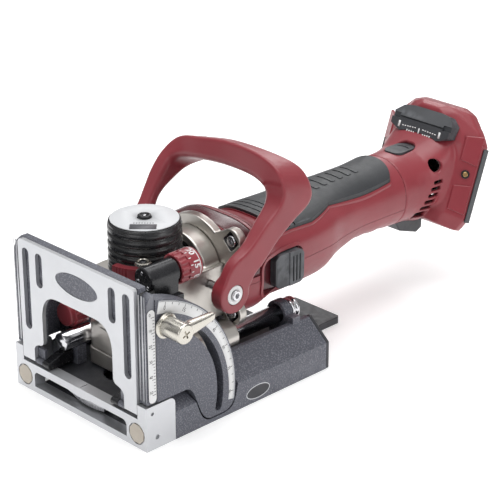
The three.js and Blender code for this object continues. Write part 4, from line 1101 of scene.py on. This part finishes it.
def motor_housing():
    shell = cut(grip(0), grip(3, stretch=1))
    cut(shell, switch_window(0, 26, 50))
    # raised lip round the switch window, and the bed that the switch slides on
    lip = meet(cut(grip(-0.9, 58, 110), grip(0.3, 56, 112)), switch_window(4, 26, 50))
    cut(lip, switch_window(0, 26, 50))
    extra("switch_lip", "motor_housing_upper", lip, "red_plastic", bevel=0.3)
    extra("switch_bed", "motor_housing_upper", switch_window(-0.4, 28.6, 31.0), "red_plastic", bevel=0.3,
          material=dark_red_gloss())
    gap = 0.15
    upper = meet(copy_of(shell), box((-60, 60), (40, 230), (SPLIT + gap, 140)))
    lower = meet(shell, box((-60, 60), (40, 230), (0, SPLIT - gap)))
    finger_grooves(lower)
    # two grooves round the housing behind its front shroud
    for y in (61.5, 64.8):
        cut(upper, cut(grip(-1, y - 0.45, y + 0.45, pitch=0.9), grip(0.9, y - 2, y + 2, pitch=4)))
    stand_for("motor_housing_upper", upper, "red_plastic", bevel=0.35, angle=38)
    stand_for("motor_housing_lower", lower, "red_plastic", bevel=0.35, angle=38)
    shroud = cut(grip(-0.25, 47.2, 61.0, pitch=1.2), grip(0.1, 45, 63, pitch=1.2))
    meet(shroud, box((-60, 60), (40, 230), (SPLIT + 4, 140)))
    extra("front_shroud", "motor_housing_upper", shroud, "red_plastic", bevel=0, material=dark_red_gloss())


def pad_plan(grow):
    plan = Outline(-27.8 - grow, 87.5 - grow).bend(0, 85 - grow, 27.8 + grow, 87.5 - grow)
    plan.line((27.6 + grow, 118)).bend(25.5 + grow, 131, 21.7 + grow, 140).line((20 + grow, 203))
    plan.bend(15 + grow, 209 + grow, 0, 209 + grow).bend(-15 - grow, 209 + grow, -20 - grow, 203)
    plan.line((-21.7 - grow, 140)).bend(-25.5 - grow, 131, -27.6 - grow, 118)
    return plan.points


def top_pad():
    thick = 2.2
    skin = grip(-thick - 0.3, 82, 211)
    cut(skin, grip(-0.3, 80, 214, stretch=2))
    meet(skin, prism("z", pad_plan(0), AXIS_Z + 3, AXIS_Z + 60))
    # cross grooves in the broad front part and raised grip bars along the narrow part
    grooves = []
    for y in (91.5, 96.5, 101.5):
        wave = Outline(-40, y + 1.6).bend(0, y - 2.2, 40, y + 1.6)
        wave.line((40, y + 2.6)).bend(0, y - 1.2, -40, y + 2.6)
        band = prism("z", wave.points, AXIS_Z, AXIS_Z + 60)
        grooves.append(cut(band, grip(-thick + 0.6, 80, 120)))
    cut(skin, *grooves)
    stand_for("top_pad", skin, "grey_rubber", bevel=0.7, segments=3, angle=40)
    rim = prism("z", pad_plan(1.2), AXIS_Z + 3, AXIS_Z + 60)
    cut(rim, prism("z", pad_plan(0.3), AXIS_Z, AXIS_Z + 62))
    meet(rim, cut(grip(-0.8, 84, 213), grip(0.4, 82, 215, stretch=2)))
    extra("pad_rim", "motor_housing_upper", rim, "red_plastic", bevel=0.25)
    bars = [prism("z", rounded(0, 138 + 7.6 * k, 15, 4.2, 1.6, 6), AXIS_Z + 10, AXIS_Z + 60)
            for k in range(7)]
    plates = grip(-thick - 0.75, 130, 195)
    cut(plates, grip(-thick - 0.32, 128, 197))
    meet(plates, join(*bars))
    extra("pad_bars", "top_pad", plates, "grey_rubber", bevel=0.25, angle=40)


def slide_switch():
    (x0, y0, z0), (x1, y1, z1) = span("slide_switch")
    mid_y, mid_z = (y0 + y1) / 2, (z0 + z1) / 2
    slab = prism("x", rounded(mid_y, mid_z, y1 - y0, z1 - z0, 4.5), x0, x1)
    low_front = [(x1 + 1, y0 - 1), (x1 - 2.2, y0 - 1), (x1 - 1.0, y0 + 1.5), (x1 - 0.6, y0 + 11),
                 (x1 + 1, y0 + 12)]
    cut(slab, prism("z", low_front, z0 - 1, z1 + 1))
    for k in range(3):
        y = y1 - 9.6 + 2.9 * k
        cut(slab, prism("x", rounded(y, mid_z - 0.5, 1.0, z1 - z0 - 5, 0.45, 4), x1 - 0.8, x1 + 1))
    stand_for("slide_switch", slab, "grey_plastic", bevel=0.6, segments=3)


# ------------------------------------------------------------------ bow handle

# x, y, z, dip of the depth direction in degrees, thickness, depth
HANDLE_STATIONS = [
    (46.3, 27.2, 71.5, 5, 9.4, 24), (46.9, 35, 85.3, 25, 9.4, 23), (48.4, 44.5, 93.5, 42, 11, 18),
    (47.8, 56, 104, 50, 13, 17), (46.6, 69.5, 114, 48, 15.5, 19), (44.2, 79, 123, 28, 17.5, 30),
    (40.5, 77.5, 132, 15, 17, 25), (26, 73.5, 137.8, 10, 16.5, 14), (0, 72.4, 138.6, 12, 16, 11),
    (-22, 70.6, 136.4, 14, 14.5, 12), (-38, 75.7, 131, 20, 14, 24), (-47.5, 69.4, 123.4, 30, 11, 20),
    (-49.8, 59.1, 114.5, 42, 10.5, 14), (-49, 49.5, 105.5, 45, 9.5, 9.5), (-47.2, 42, 96, 40, 9.4, 10),
    (-46.3, 33.5, 85, 25, 9.4, 14), (-46.3, 27.2, 71.5, 5, 9.4, 18),
]
HANDLE_BOLT = (27.5, 71.5)


def spline(stations, t):
    """Smooth path through the stations: value of every column at t stations along."""
    i = min(int(t), len(stations) - 2)
    f = t - i
    before, a, b = stations[max(i - 1, 0)], stations[i], stations[i + 1]
    after = stations[min(i + 2, len(stations) - 1)]
    values = []
    for p0, p1, p2, p3 in zip(before, a, b, after):
        values.append(0.5 * (2 * p1 + (p2 - p0) * f + (2 * p0 - 5 * p1 + 4 * p2 - p3) * f * f
                             + (3 * p1 - p0 - 3 * p2 + p3) * f ** 3))
    return values


def handle_section(depth, thick, steps=8):
    """Section of the bow in (depth, thickness): a crisp front upper edge, softer ones elsewhere."""
    points = []
    for su, sv, radius in ((1, -1, 3.4), (1, 1, 2.8), (-1, 1, 1.6), (-1, -1, 4.2)):
        r = min(radius, 0.46 * depth, 0.46 * thick)
        start = math.atan2(sv, su) - TAU / 8
        for k in range(steps + 1):
            a = start + TAU / 4 * k / steps
            points.append((su * (depth / 2 - r) + r * math.cos(a), sv * (thick / 2 - r) + r * math.sin(a)))
    return points


def bow_handle():
    last = len(HANDLE_STATIONS) - 1
    steps = 128
    rings = []
    for k in range(steps + 1):
        t = last * k / steps
        x, y, z, dip, thick, depth = spline(HANDLE_STATIONS, t)
        ahead = spline(HANDLE_STATIONS, min(t + 0.02, last))
        behind = spline(HANDLE_STATIONS, max(t - 0.02, 0))
        tangent = (Vector(ahead[:3]) - Vector(behind[:3])).normalized()
        dip = math.radians(dip)
        depth_dir = Vector((0, math.cos(dip), -math.sin(dip)))
        side_dir = depth_dir.cross(tangent).normalized()
        centre = Vector((x, y, z))
        rings.append([centre + depth_dir * a + side_dir * b for a, b in handle_section(depth, thick)])
    handle = loft(rings)
    ear = rod("x", (0, *HANDLE_BOLT), 12.2, 41.7, 50.9, 96)
    slim = rod("x", (0, *HANDLE_BOLT), 9, -50, -42.6, 96)
    join(handle, ear, slim)
    melted(handle, 0.75, 3)
    cut(handle, rod("x", (0, *HANDLE_BOLT), 3.2, -60, 60), rod("x", (0, *HANDLE_BOLT), 6.6, 49.7, 60),
        rod("x", (0, *HANDLE_BOLT), 6.6, -60, -49.7))
    stand_for("bow_handle", handle, "red_plastic", bevel=0, tidy_up=False)
    y, z = HANDLE_BOLT
    for side, s in SIDES:
        washer = turned("x", (0, y, z), [
            (3.1, 50.0), (6.1, 50.0), (6.2, 50.2), (6.2, 50.7), (5.9, 50.9), (3.9, 50.9), (3.1, 50.5),
            (3.1, 50.0)], 72)
        bolt = turned("x", (0, y, z), [
            (0, 28.4), (2.8, 28.4), (2.8, 50.9), (3.4, 51.0), (3.4, 52.1), (3.0, 52.6), (0, 52.6)], 48)
        cut(bolt, prism("x", circle(y, z, 1.9, 6), 51.0, 54))
        if s < 0:
            flipped(washer)
            flipped(bolt)
        stand_for("handle_washer_" + side, washer, "white_print", bevel=0)
        stand_for("handle_bolt_" + side, bolt, "polished_steel", bevel=0.1)


# ------------------------------------------------------------------ tail and battery foot

FOOT_Y, FOOT_Z = 273.5, 80
FOOT_TILT = math.radians(20)
FOOT_RIM, FOOT_THICK = 6.5, 17.5
FOOT_HALF = 43


def foot_point(u, v, w):
    """A point in the foot's own directions: across, up along the battery face, outwards."""
    c, s = math.cos(FOOT_TILT), math.sin(FOOT_TILT)
    return Vector((u, FOOT_Y + w * c + v * s, FOOT_Z - w * s + v * c))


def on_foot(obj):
    """Moves a solid drawn along (u, v, w) = (x, y, z) into the foot's place."""
    for vertex in obj.data.vertices:
        vertex.co = foot_point(*(vertex.co / MM)) * MM
    obj.data.flip_normals()
    return obj


def foot_outline(w, half, low, high, grow=0.0):
    half, low, high = half + grow, low - grow, high + grow
    right = [(0.4, high), (0.6, high - 3), (0.86, high - 14), (1, high - 22), (1, low + 9), (0.88, low)]
    left = [(-u, v) for u, v in reversed(right)]
    return [foot_point(u * half, v, w) for u, v in left + right]


def foot_block(grow=0.0):
    return loft([
        foot_outline(-FOOT_THICK - 3 - grow, 19, -37.5, 38.5, grow),
        foot_outline(-FOOT_THICK + 2 - grow / 2, 31, -39.5, 41.5, grow),
        foot_outline(-FOOT_RIM, FOOT_HALF, -41.5, 42.5, grow),
        foot_outline(0, FOOT_HALF, -41.5, 42.5, grow),
    ])


def foot_ring(w, half, low, high):
    ring = []
    for k in range(RING_STEPS):
        c, s = squared(TAU * k / RING_STEPS, 2 / 3.4)
        ring.append(foot_point(c * half, (low + high) / 2 + s * ((high - low) / 2), w))
    return ring


def tail_loft(inset):
    """Round neck that flows into the foot; with an inset it reaches past both ends, as a cutting tool."""
    front = 213.7 if inset else 215.1
    # y, half width, reach up, reach down, roundness
    stations = ((front, 25.2, 25, 25, 2.1), (221.5, 25.4, 25.3, 25.2, 2.1), (228, 25.8, 25.6, 25.6, 2.1),
                (234, 26.7, 25.8, 26.5, 2.2), (240, 28, 26, 28, 2.3))
    return loft([oval(*station, inset) for station in stations] + [
        foot_ring(-FOOT_THICK - 4, 29 - inset, -32 + inset, 22 - inset),
        foot_ring(-FOOT_THICK + (2 if inset > 0 else 0.5), 30 - inset, -33 + inset, 24 - inset),
    ])


def foot_prism(points, low, high):
    return on_foot(prism("z", points, low, high))


def tail():
    tail_body = join(tail_loft(0), foot_block())
    melted(tail_body, 0.9, 7)
    cut(tail_body, tail_loft(3), foot_prism(rounded(0, -2, 66, 58, 5), -FOOT_THICK + 5, 1),
        foot_prism(rounded(0, -4, 40, 36, 5), -FOOT_THICK - 6, 1))
    cut(tail_body, rod("x", (0, 245, 90.5), 4.6, -60, 60))
    # slanting row of cooling slots, the lowest one twice as high
    for k in range(6):
        y, top = 249.5 - k * 1.9, 80.9 - k * 4.4
        long, tall = 8.5 + k * 0.5, (6.0 if k == 5 else 3.0)
        cut(tail_body, prism("x", rounded(y - long / 2, top - tall / 2, long, tall, 1.1, 5), -60, 60))
    cut(tail_body, prism("z", rounded(0, 235.5, 16, 22, 6), 90, 110), box((-9, 9), (223, 256), (38, 56)))
    for s in (-1, 1):
        join(tail_body, foot_prism([(s * 28, -29), (s * 34, -29), (s * 34, 24), (s * 28, 24)], -5.5, -1.5))
    stand_for("tail_housing", tail_body, "red_plastic", bevel=0, tidy_up=False)


def side_panels():
    """Two raised panels and a brass screw on each sloping side of the foot."""
    for side, s in SIDES:
        for k, (v0, v1) in enumerate(((-29, -8), (6, 27))):
            corners = []
            rear, front = -FOOT_RIM - 0.5, -FOOT_THICK + 3
            for v, w in ((v0, rear), (v1, rear), (v1 - 2, front), (v0 + 2, front)):
                t = (w + FOOT_RIM) / (-FOOT_THICK + 2 + FOOT_RIM)
                corners.append((FOOT_HALF + (31 - FOOT_HALF) * t, v, w))
            outer = [foot_point((u + 0.9) * s, v, w - 0.5) for u, v, w in corners]
            inner = [foot_point((u - 1.5) * s, v, w) for u, v, w in corners]
            extra(f"foot_panel_{side}_{k}", "tail_housing", loft([inner, outer]), "red_plastic", bevel=0.7,
                  segments=3)
        head = turned("z", (0, 0, 0), [(0, -1.5), (1.8, -1.5), (1.8, 0.4), (1.5, 0.7), (0, 0.7)], 40)
        cut(head, cross_tool("z", 0, 0, 1.2, 0.32, 0.0, 2))
        cup = tube("z", (0, 0, 0), 1.9, 3.0, -1.2, 0.45)
        a = foot_point(37.6 * s, -1, -11.3)
        normal = Vector((s * 10.5, 0, 0)) + (foot_point(0, 0, -12) - foot_point(0, 0, 0))
        turn = Vector((0, 0, 1)).rotation_difference(normal.normalized()).to_matrix().to_4x4()
        for item in (head, cup):
            item.data.transform(Matrix.Translation(a * MM) @ turn)
        extra(f"foot_cup_{side}", "tail_housing", cup, "black_plastic", bevel=0.2)
        extra(f"foot_screw_{side}", "tail_housing", head, "bearing_bronze", bevel=0.1)


def bumper():
    cap = Outline(-26, 29).line((-21, 34)).bend(0, 38.5, 21, 34).line((26, 29), (26, 20))
    cap.bend(0, 6.5, -26, 20)
    block = foot_prism(cap.points, -FOOT_THICK - 9, -FOOT_THICK + 4)
    cut(block, tail_loft(-0.6), foot_block(0.6), box((-9, 9), (215, 248), (80, 101)))
    # upper half slopes back, a groove and two end notches part it from the lower half
    cut(block, on_foot(prism("x", [(26.6, -30), (42, -30), (42, -17.5), (26.6, -26.1)], -40, 40)),
        on_foot(prism("x", [(25.4, -30), (26.5, -30), (26.5, -25.2), (25.4, -25.2)], -40, 40)),
        *[on_foot(box(x, (24.4, 28.2), (-30, -24.6))) for x in ((19.5, 30), (-30, -19.5))])
    marks = [bar(-18.2, 20.6, 1.7, 4.4), bar(18.2, 20.6, 1.7, 4.4), bar(0, 18.4, 1.0, 5.6)]
    marks += [bar(s * (3.6 + 2.2 * k), 20.8 - 0.12 * k, 1.4, 0.7) for s in (-1, 1) for k in range(6)]
    marks += [bar(s * (4.2 + 2.0 * k), 17.2 + 0.1 * k, 1.1, 1.5) for s in (-1, 1) for k in range(4)]
    ink("bumper_marks", "bumper", marks, lambda u, v, w: foot_point(u, v, -26.5 - w), thick=0.08)
    stand_for("bumper", block, "grey_plastic", bevel=0.8, segments=3, angle=38)


def tail_small_parts():
    refined("contact_block", "black_plastic", bevel=0.5)
    for side, _ in SIDES:
        refined("side_bumper_" + side, "grey_plastic", bevel=0.3)
    refined("belt_hook", "grey_plastic", bevel=1.2, segments=4)
    module = box((-17, 17), (232, 252), (54, 83))
    extra("electronics_module", "tail_housing", module, "black_plastic", bevel=1.0)
    (x0, y0, z0), (x1, y1, z1) = span("battery_button")
    button = prism("z", rounded(0, (y0 + y1) / 2, x1 - x0, y1 - y0, 5.5), z0, z1)
    groove = Outline(-5, y1 - 6.4).bend(0, y1 - 3.6, 5, y1 - 6.4)
    groove.line((5, y1 - 7.6)).bend(0, y1 - 4.9, -5, y1 - 7.6)
    cut(button, prism("z", groove.points, z1 - 0.7, z1 + 1))
    stand_for("battery_button", button, "grey_plastic", bevel=1.0, segments=4)
    seam = cut(grip(0.2, 214.7, 215.1, pitch=0.4), grip(2.0, 213, 217, pitch=4))
    extra("neck_seam", "tail_housing", seam, "black_plastic", bevel=0)


# ------------------------------------------------------------------ drive train

def cutter():
    low, high = 5.5, 12.5
    radius = 50.2
    disc = turned("z", CUTTER_AXIS, [
        (7.4, low + 1.6), (30, low + 1.6), (32, low), (radius, low), (radius, high), (32, high),
        (30, high - 1.2), (7.4, high - 1.2), (7.4, low + 1.6)], 144)
    teeth, holes = circle(0, 0, radius, 4, 0.4), circle(0, 0, 20, 3)
    cut(disc, *[rod("z", (u, v, 0), 6, low - 1, high + 1, 40) for u, v in teeth])
    cut(disc, *[rod("z", (u, v, 0), 3.2, low - 1, high + 1, 32) for u, v in holes])
    stand_for("cutter", disc, "ground_steel", bevel=0.2)


def toothed(axis, centre, profile, teeth, depth):
    """A turned gear blank whose rim is cut by tapered gaps."""
    blank = turned(axis, centre, profile, teeth * 6)
    bm = bmesh.new()
    bm.from_mesh(blank.data)
    hub = Vector(centre) * MM
    rim = max(r for r, _ in profile)
    for vertex in bm.verts:
        offset = vertex.co - hub
        u, v = {"z": (offset.x, offset.y), "y": (offset.x, offset.z)}[axis]
        r = math.hypot(u, v) / MM
        if r > rim * 0.6:
            wave = (math.cos(math.atan2(v, u) * teeth) + 1) / 2
            shrink = 1 - depth / rim * min(1, wave * 1.6)
            if axis == "z":
                vertex.co.x, vertex.co.y = hub.x + u * shrink, hub.y + v * shrink
            else:
                vertex.co.x, vertex.co.z = hub.x + u * shrink, hub.z + v * shrink
    bm.to_mesh(blank.data)
    bm.free()
    return blank


def about_motor(obj, angle):
    """Sets a solid drawn about the y axis at an angle about the motor's axis."""
    place = Matrix.Translation(Vector(MOTOR_AXIS) * MM) @ Matrix.Rotation(angle, 4, "Y")
    obj.data.transform(place)
    return obj


def drive_train():
    cutter()
    spindle = turned("z", CUTTER_AXIS, [
        (0, 5.2), (12.4, 5.2), (13, 5.7), (13, 6.8), (7.1, 6.8), (7.1, 11.6), (11.8, 11.6), (11.8, 14.0),
        (11.4, 14.4), (6.4, 14.4), (6.4, 77.5), (5.9, 78), (0, 78)], 72)
    cut(spindle, prism("z", circle(0, 0, 3, 6), 4, 9))
    stand_for("spindle", spindle, "ground_steel", bevel=0.15)
    stand_for("quill", tube("z", CUTTER_AXIS, 6.8, 11.8, 19, 52, 72), "ground_steel", bevel=0.3)
    crown = toothed("z", CUTTER_AXIS, [
        (6.8, 56), (17, 56), (20, 58.6), (20, 62.4), (12, 66.4), (6.8, 66.4), (6.8, 56)], 33, 1.3)
    stand_for("crown_gear", crown, "ground_steel", bevel=0)
    pinion = toothed("y", MOTOR_AXIS, [(0, 19.4), (5.6, 19.4), (7.6, 24.5), (7.6, 29), (0, 29)], 11, 1.1)
    shaft = turned("y", MOTOR_AXIS, [
        (0, 20), (4.1, 20), (4.1, 76), (10.8, 76), (10.8, 124), (4.1, 124), (4.1, 143.5), (3.6, 144),
        (0, 144)], 64)
    cut(shaft, *[about_motor(box((-0.6, 0.6), (75, 125), (9.8, 12)), TAU * k / 12) for k in range(12)])
    join(shaft, pinion)
    stand_for("rotor", shaft, "ground_steel", bevel=0)
    stand_for("shaft_bearing", tube("y", MOTOR_AXIS, 4.5, 10.5, 38, 46), "ground_steel", bevel=0.4)
    fan = tube("y", MOTOR_AXIS, 4.4, 9, 58, 68)
    join(fan, tube("y", MOTOR_AXIS, 8.8, 22, 66.5, 68, 96))
    join(fan, *[about_motor(box((8.5, 21), (58.5, 67), (-0.7, 0.7)), TAU * k / 8) for k in range(8)])
    stand_for("cooling_fan", fan, "black_plastic", bevel=0.2)
    stator = tube("y", MOTOR_AXIS, 11.4, 15.9, 78, 122, 96)
    cut(stator, *[rod("y", (u, 0, v), 1.1, 77, 123, 20) for u, v in circle(0, AXIS_Z, 16.2, 9)])
    stand_for("stator", stator, "copper_pack", bevel=0.3)
    for side, s in SIDES:
        bush = tube("y", (ROD_X * s, 0, ROD_Z), 6.3, 7.9, 3, 39)
        stand_for("rod_bush_" + side, bush, "bearing_bronze", bevel=0.2)


# ------------------------------------------------------------------ camera, light and floor

def camera():
    """The viewing angle: from the cutter's side, to the right and above."""
    azimuth, elevation = math.radians(45.6), math.radians(23.6)
    data = bpy.data.cameras.new("camera")
    data.lens, data.sensor_width = 126, 36
    obj = bpy.data.objects.new("camera", data)
    bpy.context.scene.collection.objects.link(obj)
    obj.location = Vector((745.3, -640.2, 522.4)) * MM
    back = Vector((math.sin(azimuth) * math.cos(elevation), -math.cos(azimuth) * math.cos(elevation),
                   math.sin(elevation)))
    right = Vector((math.cos(azimuth), math.sin(azimuth), 0))
    up = back.cross(right)
    obj.matrix_world = Matrix.Translation(obj.location) @ Matrix((right, up, back)).transposed().to_4x4()
    data.clip_start, data.clip_end = 0.05, 20
    bpy.context.scene.camera = obj


def area_light(name, place, target, size, power):
    data = bpy.data.lights.new(name, "AREA")
    data.shape = "RECTANGLE"
    data.size, data.size_y = size
    data.energy = power
    obj = bpy.data.objects.new(name, data)
    bpy.context.scene.collection.objects.link(obj)
    obj.location = place
    obj.rotation_mode = "QUATERNION"
    obj.rotation_quaternion = (Vector(target) - Vector(place)).to_track_quat("-Z", "Y")
    return obj


def studio():
    world = bpy.data.worlds.new("studio")
    bpy.context.scene.world = world
    world.use_nodes = True
    tree = world.node_tree
    coords = tree.nodes.new("ShaderNodeTexCoord")
    split = tree.nodes.new("ShaderNodeSeparateXYZ")
    link(tree, coords.outputs["Generated"], split.inputs["Vector"])
    height = remap(tree, split.outputs["Z"], 0, 1, 0.05, 0.75)
    sky = mix_colour(tree, height, (0.30, 0.30, 0.31), (1.0, 1.0, 1.0))
    link(tree, sky, tree.nodes["Background"].inputs["Color"])
    tree.nodes["Background"].inputs["Strength"].default_value = 0.6
    bpy.context.scene.view_settings.view_transform = "Standard"
    centre = (0, 0.1, 0.06)
    lights = [
        area_light("overhead", (-0.1, 0.15, 1.3), centre, (1.3, 1.0), 14),
        area_light("front", (0.35, -1.2, 0.55), centre, (0.9, 0.7), 2.8),
        area_light("right", (1.3, 0.35, 0.5), centre, (0.5, 0.9), 3.6),
        area_light("behind", (-0.7, 1.2, 0.9), centre, (0.8, 0.5), 4.5),
    ]
    bm = bmesh.new()
    half = 6
    bm.faces.new([bm.verts.new((x * half, y * half, 0)) for x, y in ((-1, -1), (1, -1), (1, 1), (-1, 1))])
    mesh = bpy.data.meshes.new("floor")
    bm.to_mesh(mesh)
    bm.free()
    floor = bpy.data.objects.new("floor", mesh)
    bpy.context.scene.collection.objects.link(floor)
    floor.location.z = cad_box[0].z
    material, _, shader = new_material("floor")
    shader.inputs["Base Color"].default_value = (0.9, 0.9, 0.9, 1)
    shader.inputs["Emission Color"].default_value = (1, 1, 1, 1)
    shader.inputs["Emission Strength"].default_value = 0.28
    shader.inputs["Roughness"].default_value = 0.7
    mesh.materials.append(material)


# ------------------------------------------------------------------ the model

camera()
base()
fence_plate()
fence_carrier()
cheeks()
height_scale()
clamp_lever()
depth_stop()
gear_case()
flange()
dome()
slide_carrier()
mode_selector()
motor_housing()
top_pad()
slide_switch()
bow_handle()
tail()
side_panels()
bumper()
tail_small_parts()
drive_train()
studio()

left_over = sorted(set(NODES) - done)
if left_over:
    raise RuntimeError(f"these nodes have no finished piece: {left_over}")
